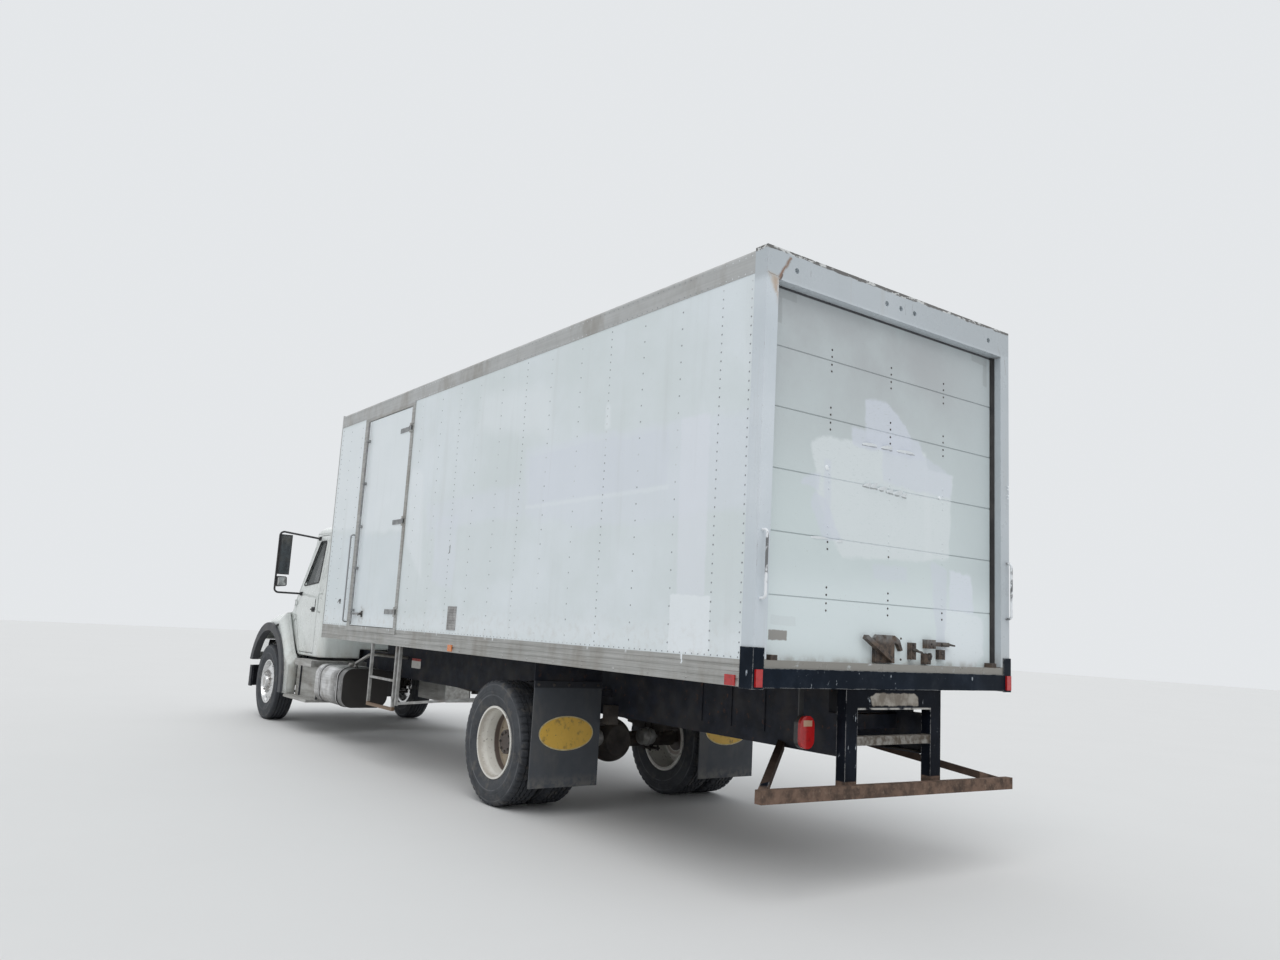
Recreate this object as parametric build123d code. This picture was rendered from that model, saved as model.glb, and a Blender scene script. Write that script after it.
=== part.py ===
"""A long box truck: conventional cab, dual rear wheels and a tall van body with a side door.

Lengths are in millimetres. While a piece is made, x is its station ahead of the rear frame's
rear face, y is to the truck's left and z is up from the ground. At the end every piece moves
back by mid_station, so that the model's origin is on the ground under its middle.
"""

from build123d import *
import os
from math import cos, sin, tan, radians

# Van body
body_length = 7720
body_width = 2591
body_top = 3979
rail_bottom = 1231
rail_top = 1392
rail_thickness = 40
rail_groove = 4
top_rail_height = 165
wall_thickness = 38
wall_inset = 3
roof_thickness = 22
corner_radius = 100
deck_top = 1385
deck_thickness = 45
post_depth = 110
jamb_width = 105.5
header_height = 209
threshold_top = 1397
header_lamp_across = (-1033, -150, 0, 150, 1033)
header_lamp_radius = 19
header_lamp_depth = 20

# Rear door, bumper beam and guard
roll_door_recess = 78
roll_door_thickness = 26
roll_door_panels = 6
panel_groove = 6
beam_bottom = 1233
beam_top = 1349
end_plate_bottom = 1224
end_plate_top = 1470
end_plate_inner = 1213
plate_thickness = 8
upright_inner = 370
upright_width = 110
upright_depth = 76
upright_bottom = 603
name_plate_bottom = 1103
cross_tube_bottom = 877
cross_tube_height = 56
guard_bar_height = 80
guard_bar_depth = 56
guard_bar_left_z = 615
guard_bar_right_z = 582
guard_bar_half = 1245
guard_arm_size = 50
guard_arm_reach = 640

handle_radius = 9
handle_reach = 45
grab_heights = (1760, 2172)
stop_block = (1117, 27, 32)
rear_locks = ((-262, -210, 1432, 1547, 36), (-427, -358, 1404, 1478, 34),
              (-472, -376, 1512, 1574, 40), (-590, -523, 1440, 1508, 30),
              (-650, -477, 1530, 1560, 22))
side_bar_station = body_length - 890
side_bar_heights = (1440, 2440)

# Side door in the left wall
door_rear = body_length - 2286
door_front = body_length - 1026
door_bottom = 1406
door_top = body_top - 220
door_gap = 6
door_thickness = 40
frame_rear_edge = door_rear - 64
frame_front_edge = door_front + 91
frame_bottom_edge = 1345
frame_proud = 9.5
hinge_station = door_rear - 34
hinge_out = 24
hinge_heights = (door_bottom + 168, door_bottom + 1117, door_top - 237)
strap_length = 300
strap_thickness = 6
strap_height = 50
knuckle_radius = 11
rod_radius = 10
rod_station = door_front - 83
rod_out = 26
lever_height = 1535
lever_reach = 260

# Ladder and brace under the side door
ladder_rear = door_rear - 124
ladder_front = door_rear + 576
ladder_bottom = 580
ladder_tube = 30
rung_height = 880
brace_post_station = door_rear - 209
brace_post_bottom = 640
brace_reach = 1000

# Cab
cab_back = body_length + 700
cab_half_width = 1035
cab_corner = 100
cab_bottom = 950
cab_tunnel_half = 500
cab_roof_height = 2690
belt_height = 1690
cowl_front = cab_back + 1355
toe_station = cab_back + 880
screen_bulge = 70
screen_corner = 110
windscreen_rake = 31
brow = ((430, 285), (585, 100), (715, 25), (815, 0))
roof_lean = 5.5
cab_wall = 45
glass_inset = 12
glass_thickness = 6
door_rear_edge = cab_back + 270
door_hinge_station = cab_back + 1146
door_hinge_out = 10
door_sill = 985
roof_line = 2560
window_front_height = 1875
window_rear_height = 1920
cab_gap = 6
cab_hinge_heights = (1440, 1640)

seat_across = 500
steering_centre = (cab_back + 820, seat_across, 1760)
steering_tilt = 38
mirror_station = cab_back + 980
mirror_root_station = cab_back + 632
mirror_tube_out = 1408
cab_grab_heights = (1530, 1770)

# Hood and front end
hood_rear = cab_back + 1365
hood_front = hood_rear + 1200
hood_pivot_station = hood_front - 55
hood_pivot_height = 745
hood_bottom = 790
hood_skin = 30
wing_rear = cab_back + 755
wing_inner = 1062
wing_outer = 1180
wing_bottom = 430
arch_station = cab_back + 1730
arch_height = 520
flare_inner = 715
flare_outer = 825
flare_proud = 35
flare_depth = 60
grille_half = 540
grille_bottom = 870
grille_top = 1270
bumper_front = hood_front + 146
bumper_rear = bumper_front - 251
bumper_bottom = 400
bumper_top = 700
bumper_skin = 30
bumper_half = 1185
tow_station = bumper_front - 181
tow_height = 585
tow_bore = 40

# Frame and running gear
rail_out = 432
rail_flange = 76
rail_gauge = 8
frame_bottom = 800
frame_height = 270
frame_front = bumper_rear
crossmember_stations = (330, 1500, 2300, 4300, 5900, cab_back - 1020, cab_back - 270,
                        frame_front - 180)
crossmember_low = 940
crossmember_high = 1040
sill_rear = 190
sill_front = body_length - 80
tie_plate_stations = (824, 1171, 1501)
floor_beam_pitch = 406
floor_beam_width = 50
rear_axle_station = 3279
front_axle_station = cab_back + 1761
wheel_radius = 520
tyre_width = 279
bead_radius = 302
rim_half_width = 116
dual_centre = 914.5
dual_half_spacing = 168.5
front_tyre_centre = 1027.5
hand_holes = 10
hand_hole_radius = 23
hand_hole_circle = 234
kingpin_half = 880
spring_width = 76
leaf_thickness = 18
spring_half_length = 700
rear_spring_leaves = 5
front_spring_leaves = 3
axle_tube_radius = 70
axle_bowl_radius = 200
spindle_radius = 45
kingpin_radius = 20
ball_radius = 13
steering_arm = 190
rear_spring_top = 690
front_spring_top = 640
running_gap = 0.3
flap_station = 2640
flap_inner = 550
flap_outer = 1205
flap_bottom = 235
flap_top = 1080
flap_thickness = 10

# Engine, tank, steps, exhaust and air tanks
engine_stations = (cab_back + 1370, cab_back + 2010)
gearbox_rear = cab_back + 30
gearbox_height = 890
tank_rear = cab_back - 1300
tank_length = 980
tank_outer = 1160
tank_width = 560
tank_bottom = 437
tank_top = 892
tank_corner = 130
upper_step = (cab_back - 170, cab_back + 480, 835, 912, 1180)
lower_step = (cab_back - 208, cab_back + 719, 400, 430, 1220)
step_box_outer = 1065
step_box_inner = 700
muffler_radius = 150
muffler_stations = (cab_back - 1970, cab_back - 870)
exhaust_pipe_radius = 50
air_tank_radius = 120
air_tank_stations = (4080, 4800)
air_tank_length = 600

# Derived places
half = body_width / 2
jamb_half_width = half - jamb_width
header_bottom = body_top - header_height
mid_station = (bumper_front - guard_bar_depth) / 2
frame_top = frame_bottom + frame_height
sill_top = beam_bottom + 5
deck_bottom = deck_top - deck_thickness
top_rail_bottom = body_top - top_rail_height
wall_out = half - wall_inset
wall_in = wall_out - wall_thickness
cab_floor_bottom = frame_top
cab_floor_top = cab_floor_bottom + cab_wall


def block(x0, x1, y0, y1, z0, z1):
    """A block between two corners, as stations along, across and up."""
    return Pos((x0 + x1) / 2, (y0 + y1) / 2, (z0 + z1) / 2) * Box(x1 - x0, y1 - y0, z1 - z0)


def other_side(shape):
    return mirror(shape, about=Plane.XZ)


def both_sides(shape):
    return [shape, other_side(shape)]


def outline(points, radius=0):
    """A flat face round 3-D points, with its corners rounded by one radius or a list of them."""
    if isinstance(radius, (int, float)) and radius == 0:
        return make_face(Polyline(*points, close=True))
    return make_face(FilletPolyline(*points, radius=radius, close=True))


def side_prism(points, y0, y1, radius=0):
    """A side outline of (station, height) points, run across from y0 to y1."""
    face = outline([(x, y0, z) for x, z in points], radius)
    return extrude(face, amount=y1 - y0, dir=(0, 1, 0))


def plan_prism(points, z0, z1, radius=0):
    """A plan outline of (station, across) points, run up from z0 to z1."""
    face = outline([(x, y, z0) for x, y in points], radius)
    return extrude(face, amount=z1 - z0, dir=(0, 0, 1))


def length_prism(points, x0, x1, radius=0):
    """A cross-section of (across, height) points, run forward from x0 to x1."""
    face = outline([(x0, y, z) for y, z in points], radius)
    return extrude(face, amount=x1 - x0, dir=(1, 0, 0))


def cross_cylinder(x, y0, y1, z, radius):
    """A cylinder lying across the truck."""
    return Pos(x, (y0 + y1) / 2, z) * Rot(90, 0, 0) * Cylinder(radius, y1 - y0)


def long_cylinder(x0, x1, y, z, radius):
    """A cylinder lying along the truck."""
    return Pos((x0 + x1) / 2, y, z) * Rot(0, 90, 0) * Cylinder(radius, x1 - x0)


def upright_cylinder(x, y, z0, z1, radius):
    return Pos(x, y, (z0 + z1) / 2) * Cylinder(radius, z1 - z0)


def strut(start, end, width, height):
    """A square bar from one point to another, its width level and its height upright."""
    path = Line(start, end)
    along = path % 0
    across = Vector(0, 0, 1).cross(along).normalized()
    plane = Plane(origin=path @ 0, x_dir=across, z_dir=along)
    return extrude(plane * Rectangle(width, height), amount=path.length)


def turned(profile, x, y, z):
    """A wheel-like solid of (radius, across) points, turned about an axis across the truck."""
    face = outline([(r, s, 0) for r, s in profile])
    return Pos(x, y, z) * revolve(face, axis=Axis.Y)


def write(name, shapes):
    """Moves a piece to the model's own origin and writes it."""
    shapes = shapes if isinstance(shapes, list) else [shapes]
    solids = [s for shape in shapes for s in shape.solids()]
    moved = [Pos(-mid_station, 0, 0) * s for s in solids]
    piece = moved[0] if len(moved) == 1 else Compound(children=moved)
    export_step(piece, f"parts/{name}.step")


# Van body

def rear_frame():
    """Posts, header and threshold in one frame, with five empty lamp holes in the header."""
    frame = block(0, post_depth, -half, half, rail_bottom, body_top)
    frame -= block(-1, post_depth + 1, -jamb_half_width, jamb_half_width,
                   threshold_top, header_bottom)
    frame -= block(-1, post_depth + 1, -jamb_half_width, jamb_half_width,
                   rail_bottom - 1, beam_top)
    lamp_height = (header_bottom + body_top) / 2 - 8
    for y in header_lamp_across:
        frame -= long_cylinder(-1, header_lamp_depth, y, lamp_height, header_lamp_radius)
    return frame


def bumper_beam():
    """The rear sill beam, with end plates folded round the feet of the posts."""
    t = plate_thickness
    beam = block(0, post_depth, -jamb_half_width, jamb_half_width, beam_bottom, beam_top)
    beam += block(-t, 0, -end_plate_inner, end_plate_inner, beam_bottom, beam_top)
    plate = block(-t, 0, end_plate_inner, half + t, end_plate_bottom, end_plate_top)
    plate += block(0, post_depth, half, half + t, end_plate_bottom, end_plate_top)
    return beam + plate + other_side(plate)


def roll_door():
    """Rear door of stacked panels, their joints cut as grooves in both faces."""
    front = roll_door_recess + roll_door_thickness
    door = block(roll_door_recess, front, -jamb_half_width, jamb_half_width,
                 threshold_top, header_bottom)
    panel = (header_bottom - threshold_top) / roll_door_panels
    for k in range(1, roll_door_panels):
        z = threshold_top + panel * k
        groove = side_prism([(roll_door_recess - 1, z - panel_groove),
                             (roll_door_recess + panel_groove, z),
                             (roll_door_recess - 1, z + panel_groove)],
                            -jamb_half_width, jamb_half_width)
        door -= groove
    return door


def bow_handle(low, high, start, reach, direction):
    """A round bar bowed out from a face: two feet and a long grip, for both sides' use."""
    dx, dy = direction
    x, y = start
    far = (x + dx * reach, y + dy * reach)
    path = FilletPolyline((x, y, low), (*far, low), (*far, high), (x, y, high), radius=25)
    return sweep(Plane(origin=path @ 0, z_dir=path % 0) * Circle(handle_radius), path=path)


def body_hardware():
    """Grab handles on the rear posts, the bar by the side door and the rear door's locks."""
    low, high = grab_heights
    grab = bow_handle(low, high, (0, half - 38), handle_reach, (-1, 0))
    bar = bow_handle(*side_bar_heights, (side_bar_station, wall_out), handle_reach, (0, 1))
    back, base = roll_door_recess, threshold_top + 6
    claw = [(152, base), (152, 1566), (128, 1588), (-42, 1588), (-96, 1560), (-128, 1492),
            (-108, 1484), (-78, 1530), (-42, 1544), (-42, base)]
    latch = length_prism(claw, back - 30, back)
    latch += strut((back - 44, 270, 1570), (back - 44, 10, 1424), 40, 28)
    locks = []
    # each block's sides, foot, head and reach behind the door
    for y0, y1, low, high, reach in rear_locks:
        locks.append(block(back - reach, back, y0, y1, low, high))
    across, stop_half, high = stop_block
    stop = block(8, roll_door_recess - 6, across - stop_half, across + stop_half,
                 threshold_top, threshold_top + high)
    locks += both_sides(stop)
    return both_sides(grab) + [bar, latch, *locks]


def side_wall(left):
    """One side wall, as thick as the whole wall; the left one is cut for the door's frame."""
    wall = block(post_depth, body_length - corner_radius, wall_in, wall_out,
                 rail_top, top_rail_bottom)
    if left:
        return wall - block(frame_rear_edge, frame_front_edge, wall_in - 1, half + 1,
                            rail_top - 1, top_rail_bottom + 1)
    return other_side(wall)


def front_wall():
    return block(body_length - wall_thickness, body_length, -half + corner_radius,
                 half - corner_radius, rail_bottom, body_top - roof_thickness)


def roof_panel():
    return block(post_depth, body_length, -half + corner_radius, half - corner_radius,
                 body_top - roof_thickness, body_top - 4)


def body_rails():
    """Aluminium edges of the body: ribbed bottom rails, top rails and front corner posts."""
    inner = half - rail_thickness
    rib = (rail_top - rail_bottom) / 8
    ribbed = [(inner, rail_bottom), (half, rail_bottom)]
    for k in (1, 3, 5):
        z = rail_bottom + rib * (k + 0.5)
        ribbed += [(half, z), (half - rail_groove, z + rail_groove),
                   (half - rail_groove, z + rib - rail_groove), (half, z + rib)]
    ribbed += [(half, rail_top), (inner, rail_top)]
    front = body_length - corner_radius
    bottom = length_prism(ribbed, post_depth, front)
    notch = block(frame_rear_edge, frame_front_edge, inner - 1, half + 1,
                  frame_bottom_edge, rail_top + 1)
    crown = [(inner - 60, body_top - 4), (inner - 60, body_top - roof_thickness),
             (inner, body_top - roof_thickness), (inner, top_rail_bottom),
             (half, top_rail_bottom), (half, body_top - 4)]
    top = length_prism(crown, post_depth, front, radius=[0, 0, 0, 0, 0, 30])
    centre = half - corner_radius
    post = upright_cylinder(front, centre, rail_bottom, body_top - 4, corner_radius)
    inside = corner_radius - wall_thickness
    post -= block(front - 1, front + inside, centre - 1, centre + inside, rail_bottom - 1,
                  body_top - roof_thickness)
    post &= block(front, body_length, centre, half, rail_bottom, body_top)
    return [bottom - notch, other_side(bottom), *both_sides(top), *both_sides(post)]


def side_door_frame():
    """Frame round the side door, with the fixed halves of its hinges."""
    y0, y1 = half - rail_thickness, half + frame_proud
    frame = block(frame_rear_edge, frame_front_edge, y0, y1, frame_bottom_edge, top_rail_bottom)
    frame -= block(door_rear - door_gap, door_front + door_gap, y0 - 1, y1 + 1,
                   door_bottom - door_gap, door_top + door_gap)
    pin_y = half + hinge_out
    for z in hinge_heights:
        for low in (z - strap_height, z + strap_height / 2 + 1):
            barrel = upright_cylinder(hinge_station, pin_y, low, low + strap_height / 2 - 1,
                                      knuckle_radius)
            leaf = block(hinge_station - 25, hinge_station, y1, pin_y, low,
                         low + strap_height / 2 - 1)
            frame += barrel + leaf
        frame += upright_cylinder(hinge_station, pin_y, z - strap_height / 2 - 2,
                                  z + strap_height / 2 + 2, 5)
    return frame


def side_door():
    return block(door_rear, door_front, half + 4 - door_thickness, half + 4,
                 door_bottom, door_top)


def side_door_hardware():
    """Hinge straps, the lock rod with its guides and its lever."""
    face = half + 4
    pin_y = half + hinge_out
    pieces = []
    for z in hinge_heights:
        low, high = z - strap_height / 2, z + strap_height / 2
        strap = block(door_rear + 1, hinge_station + strap_length, face,
                      face + strap_thickness, low, high)
        strap += block(hinge_station, door_rear + 8, pin_y - 3, pin_y + 3, low, high)
        strap += upright_cylinder(hinge_station, pin_y, low, high, knuckle_radius)
        strap += block(door_rear + 1, door_rear + 8, face, pin_y + 3, low, high)
        pieces.append(strap - upright_cylinder(hinge_station, pin_y, low - 1, high + 1,
                                               5 + running_gap))
    rod_y = face + rod_out
    rod = upright_cylinder(rod_station, rod_y, door_bottom + 8, door_top - 8, rod_radius)
    low, middle, high = hinge_heights
    for z in (low, (low + middle) / 2, middle, (middle + high) / 2, high):
        rod += block(rod_station - 22, rod_station + 22, face, rod_y + rod_radius + 3,
                     z - 15, z + 15)
    rod += block(rod_station - lever_reach, rod_station, rod_y - 6, rod_y + 6,
                 lever_height - 12, lever_height + 12)
    return pieces + [rod]


def side_ladder():
    """Steps hung under the side door and a post braced back to the frame."""
    y0 = half - rail_thickness + 2
    y1 = y0 + ladder_tube
    ladder = block(ladder_rear, ladder_rear + ladder_tube, y0, y1, ladder_bottom, rail_bottom)
    ladder += block(ladder_front - ladder_tube, ladder_front, y0, y1, ladder_bottom, rail_bottom)
    ladder += block(ladder_rear, ladder_front, y0, y1, rung_height - 11, rung_height + 11)
    ladder += block(ladder_rear, ladder_front, y0, y1, ladder_bottom, ladder_bottom + ladder_tube)
    post = block(brace_post_station, brace_post_station + ladder_tube, y0, y1,
                 brace_post_bottom, rail_bottom)
    brace = strut((brace_post_station + 20, y0 + 10, brace_post_bottom + 20),
                  (brace_post_station - brace_reach, rail_out - 20, frame_bottom + 20), 26, 26)
    brace -= block(0, body_length, 0, rail_out, 0, frame_top)
    return [ladder, post + brace]


def body_floor():
    """Deck of the load space, its front corners rounded inside the corner posts."""
    side, front = half - rail_thickness, body_length - wall_thickness
    corner = corner_radius - rail_thickness - 0.3
    turn = body_length - corner_radius
    deck = block(post_depth, turn, -side, side, deck_bottom, deck_top)
    deck += block(turn, front, corner_radius - half, half - corner_radius, deck_bottom, deck_top)
    for y in (corner_radius - half, half - corner_radius):
        deck += upright_cylinder(turn, y, deck_bottom, deck_top, corner)
    return deck


def body_sills():
    """Two sills on the frame, the plates that tie them down and the floor beams across them."""
    y1 = rail_out
    y0 = rail_out - rail_flange
    sills = both_sides(block(sill_rear, sill_front, y0, y1, frame_top, sill_top))
    for x in tie_plate_stations:
        sills += both_sides(block(x - 45, x + 45, y1, y1 + plate_thickness, frame_bottom + 83,
                                  sill_top))
    beams = []
    count = int((sill_front - sill_rear - floor_beam_width) / floor_beam_pitch) + 1
    t = 6
    for k in range(count):
        x = sill_rear + k * floor_beam_pitch
        web = [(x, sill_top), (x + floor_beam_width, sill_top), (x + floor_beam_width, sill_top + t),
               (x + t, sill_top + t), (x + t, deck_bottom - t),
               (x + floor_beam_width, deck_bottom - t), (x + floor_beam_width, deck_bottom),
               (x, deck_bottom)]
        beams.append(side_prism(web, -half + rail_thickness, half - rail_thickness))
    return sills + beams


# Frame and running gear

def frame_rails():
    """Two long channels, open to the middle."""
    y1 = rail_out
    y0 = rail_out - rail_flange
    channel = [(y0, frame_bottom), (y1, frame_bottom), (y1, frame_top), (y0, frame_top),
               (y0, frame_top - rail_gauge), (y1 - rail_gauge, frame_top - rail_gauge),
               (y1 - rail_gauge, frame_bottom + rail_gauge), (y0, frame_bottom + rail_gauge)]
    return both_sides(length_prism(channel, upright_depth, frame_front))


def frame_crossmembers():
    """Channels between the rails, and the hangers that carry the mud flaps."""
    inner = rail_out - rail_gauge
    low, high, t, width = crossmember_low, crossmember_high, 8, 90
    members = []
    for x in crossmember_stations:
        hat = [(x, low), (x + width, low), (x + width, low + t), (x + t, low + t),
               (x + t, high - t), (x + width, high - t), (x + width, high), (x, high)]
        members.append(side_prism(hat, -inner, inner))
    plate = block(flap_station + flap_thickness, flap_station + flap_thickness + 8, flap_inner,
                  flap_outer, flap_top - 60, sill_top)
    arm = block(flap_station + flap_thickness, flap_station + flap_thickness + 50, rail_out,
                flap_inner, frame_top - 110, frame_top - 60)
    return members + both_sides(plate + arm)


def mud_flaps():
    return both_sides(block(flap_station, flap_station + flap_thickness, flap_inner, flap_outer,
                            flap_bottom, flap_top))


def leaf_pack(station, y, top, leaves, eye_rise):
    """Curved leaves under one another, each shorter than the last, with eyes at the long one."""
    sag = eye_rise
    radius = (spring_half_length ** 2 + sag ** 2) / (2 * sag)
    pieces = None
    for k in range(leaves):
        reach = spring_half_length * (1 - 0.17 * k)
        angle = reach / radius
        outer = radius + leaf_thickness * (k + 1)
        inner = radius + leaf_thickness * k
        centre_z = top + radius
        a = [(station - inner * sin(angle), centre_z - inner * cos(angle)),
             (station, centre_z - inner),
             (station + inner * sin(angle), centre_z - inner * cos(angle))]
        b = [(station + outer * sin(angle), centre_z - outer * cos(angle)),
             (station, centre_z - outer),
             (station - outer * sin(angle), centre_z - outer * cos(angle))]
        edges = [ThreePointArc(*[(x, y - spring_width / 2, z) for x, z in a]),
                 Line((a[2][0], y - spring_width / 2, a[2][1]),
                      (b[0][0], y - spring_width / 2, b[0][1])),
                 ThreePointArc(*[(x, y - spring_width / 2, z) for x, z in b]),
                 Line((b[2][0], y - spring_width / 2, b[2][1]),
                      (a[0][0], y - spring_width / 2, a[0][1]))]
        leaf = extrude(make_face(edges), amount=spring_width, dir=(0, 1, 0))
        pieces = leaf if pieces is None else pieces + leaf
    return pieces


def leaf_springs():
    """Four leaf packs with the hangers that hold their ends and the clamps over the axles."""
    solids = []
    # station, across, top of the pack, leaves, rise to the eyes, hanger's inner and outer face
    packs = (
        (rear_axle_station, rail_out + 60, rear_spring_top, rear_spring_leaves, 90, rail_out,
         rail_out + 102),
        (front_axle_station, rail_out - 38, front_spring_top, front_spring_leaves, 90,
         rail_out - rail_flange, rail_out),
    )
    for station, y, top, leaves, rise, h0, h1 in packs:
        pack = leaf_pack(station, y, top, leaves, rise)
        for side in (-1, 1):
            end = station + side * (spring_half_length - 10)
            on_side = h0 >= rail_out
            high = frame_bottom + 90 if on_side else frame_bottom
            hanger = block(end - 40, end + 40, h0, h1, top + rise - 45, high)
            pack += hanger
        pack += block(station - 60, station + 60, y - spring_width / 2 - 10,
                      y + spring_width / 2 + 10, top - leaves * leaf_thickness - 10, top + 22)
        solids += both_sides(pack)
    return solids


def rear_axle():
    """Axle tube with its round centre bowl, the nose of the drive and the seats of the springs."""
    x, z = rear_axle_station, wheel_radius
    end = dual_centre + 60
    axle = cross_cylinder(x, -end + 250, end - 250, z, axle_tube_radius)
    axle += cross_cylinder(x, -end, end, z, spindle_radius)
    bowl = Pos(x, 0, z) * Sphere(axle_bowl_radius)
    axle += bowl & block(x - 150, x + 170, -300, 300, 0, 1000)
    axle += long_cylinder(x, x + 330, 0, z + 10, 80)
    seat_y = rail_out + 60
    seat_top = rear_spring_top - rear_spring_leaves * leaf_thickness - 10
    for side in (-1, 1):
        axle += block(x - 60, x + 60, side * seat_y - 45, side * seat_y + 45, z, seat_top)
    return axle


def front_axle():
    """Dropped beam between the kingpins, with the seats of the springs."""
    x, z = front_axle_station, wheel_radius
    end = kingpin_half - 20
    drop = [(-end, z - 40), (-end, z + 50), (-640, z + 50), (-520, z - 10), (520, z - 10),
            (640, z + 50), (end, z + 50), (end, z - 40), (660, z - 40), (540, z - 100),
            (-540, z - 100), (-660, z - 40)]
    beam = length_prism(drop, x - 45, x + 45)
    seat_top = front_spring_top - front_spring_leaves * leaf_thickness - 10
    for side in (-1, 1):
        y = side * (rail_out - 38)
        beam += block(x - 60, x + 60, y - 45, y + 45, z - 60, seat_top)
        beam += upright_cylinder(x, side * kingpin_half, z - 40, z + 50, 36)
        beam -= upright_cylinder(x, side * kingpin_half, 0, 1000, kingpin_radius + running_gap)
    return beam


def knuckle():
    """Left steering knuckle: forked yoke, kingpin, spindle and the arm to the tie rod."""
    x, y, z = front_axle_station, kingpin_half, wheel_radius
    yoke = upright_cylinder(x, y, z - 110, z + 110, kingpin_radius)
    for low, high in ((z - 105, z - 46), (z + 56, z + 105)):
        yoke += block(x - 40, x + 40, y - 35, y + 70, low, high)
    yoke += block(x - 40, x + 40, y + 42, y + 70, z - 105, z + 105)
    yoke += cross_cylinder(x, y + 60, front_tyre_centre + 90, z, spindle_radius)
    yoke += block(x - steering_arm - 18, x, y - 20, y + 20, z - 100, z - 72)
    ball = upright_cylinder(x - steering_arm, y, z - 135, z - 90, ball_radius)
    return yoke + ball


def tie_rod():
    """Rod behind the front axle from one steering arm to the other."""
    x, y, z = front_axle_station - steering_arm, kingpin_half, wheel_radius - 120
    rod = cross_cylinder(x, -y, y, z, 15)
    for side in (-1, 1):
        rod += upright_cylinder(x, side * y, z - 16, z + 16, 28)
    for side in (-1, 1):
        rod -= upright_cylinder(x, side * y, z - 60, z + 60, ball_radius + running_gap)
    return rod


def tyre(x, y):
    """One tyre, without its tread pattern."""
    w = tyre_width / 2
    profile = [(bead_radius, 8 - rim_half_width), (bead_radius, rim_half_width - 8),
               (400, w), (wheel_radius - 12, w - 14), (wheel_radius, w - 34),
               (wheel_radius, 34 - w), (wheel_radius - 12, 14 - w), (400, -w)]
    return turned(profile, x, y, wheel_radius)


def rear_wheel():
    """Left pair of steel rims with their discs bolted together on the hub."""
    rim, s, w = bead_radius, dual_half_spacing, rim_half_width
    bore = spindle_radius + running_gap
    profile = [(bore, -130), (180, -130), (180, -15), (258, -60), (272, -s - w),
               (rim, -s - w), (rim, w - s), (270, w - s - 8), (270, s - w + 8), (rim, s - w),
               (rim, s + w), (284, s + w), (266, s + 40), (256, 70), (170, 22), (115, 22),
               (100, 170), (0, 170), (0, 70), (bore, 70)]
    return turned(profile, rear_axle_station, dual_centre, wheel_radius)


def front_wheel():
    """Left front rim with its bulged disc, hub and drum, and hand holes round the disc."""
    rim, w = bead_radius, rim_half_width
    bore = spindle_radius + running_gap
    profile = [(bore, -45), (205, -45), (205, 60), (266, 40), (272, -w), (rim, -w),
               (rim, w), (284, w), (266, 70), (160, 105), (105, 105), (92, 160), (0, 160),
               (0, 100), (bore, 100)]
    wheel = turned(profile, front_axle_station, front_tyre_centre, wheel_radius)
    for k in range(hand_holes):
        angle = radians(360 / hand_holes * k)
        wheel -= cross_cylinder(front_axle_station + hand_hole_circle * cos(angle),
                                front_tyre_centre + 20, front_tyre_centre + 130,
                                wheel_radius + hand_hole_circle * sin(angle), hand_hole_radius)
    return wheel


def engine():
    """Engine and gearbox as plain blocks, and the radiator ahead of them."""
    motor = block(*engine_stations, -330, 330, 700, 1480)
    motor += long_cylinder(gearbox_rear, engine_stations[0], 0, gearbox_height, 165)
    low, wide = rail_out - rail_flange - 6, 380
    back, front = engine_stations[1] + 50, engine_stations[1] + 170
    radiator = block(back, front, -wide, wide, frame_top, 1480)
    radiator += block(back, front, -low, low, frame_bottom - 60, frame_top)
    return [motor, radiator]


def drive_shaft():
    """Propeller shaft from the gearbox back to the axle, with its centre bearing."""
    back, front = rear_axle_station + 330, gearbox_rear
    low, middle, high = wheel_radius + 10, 760, gearbox_height
    centre = crossmember_stations[4] + 90
    shaft = cross_path_tube((back - 20, low), (centre, middle), 50)
    shaft += cross_path_tube((centre, middle), (front + 20, high), 50)
    shaft &= block(back, front, -200, 200, 0, frame_top)
    return shaft + block(centre - 45, centre, -60, 60, 700, crossmember_low)


def cross_path_tube(start, end, radius):
    """A round bar on the truck's middle plane, between two (station, height) points."""
    path = Line((start[0], 0, start[1]), (end[0], 0, end[1]))
    return extrude(Plane(origin=path @ 0, z_dir=path % 0) * Circle(radius), amount=path.length)


def exhaust():
    """Muffler on the right of the frame, its tail pipe and the pipe from the engine."""
    y, z = -(rail_out + muffler_radius + 60), frame_bottom + 40
    a, b = muffler_stations
    muffler = long_cylinder(a, b, y, z, muffler_radius)
    tail = air_tank_stations[-1] + air_tank_length + 150
    muffler += long_cylinder(tail, a, y, z, exhaust_pipe_radius)
    inside = 350 - exhaust_pipe_radius
    path = FilletPolyline((b, y, z), (b + 220, y, z - 100), (b + 220, -inside, z - 100),
                          (engine_stations[0], -inside, z - 100), radius=70)
    muffler += sweep(Plane(origin=path @ 0, z_dir=path % 0) * Circle(exhaust_pipe_radius),
                     path=path)
    for x in (a + 200, b - 200):
        muffler += block(x - 20, x + 20, y, -rail_out, frame_top - 60, frame_top - 30)
        muffler += block(x - 20, x + 20, y - 20, y + 20, z + 100, frame_top - 30)
    return muffler


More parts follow.
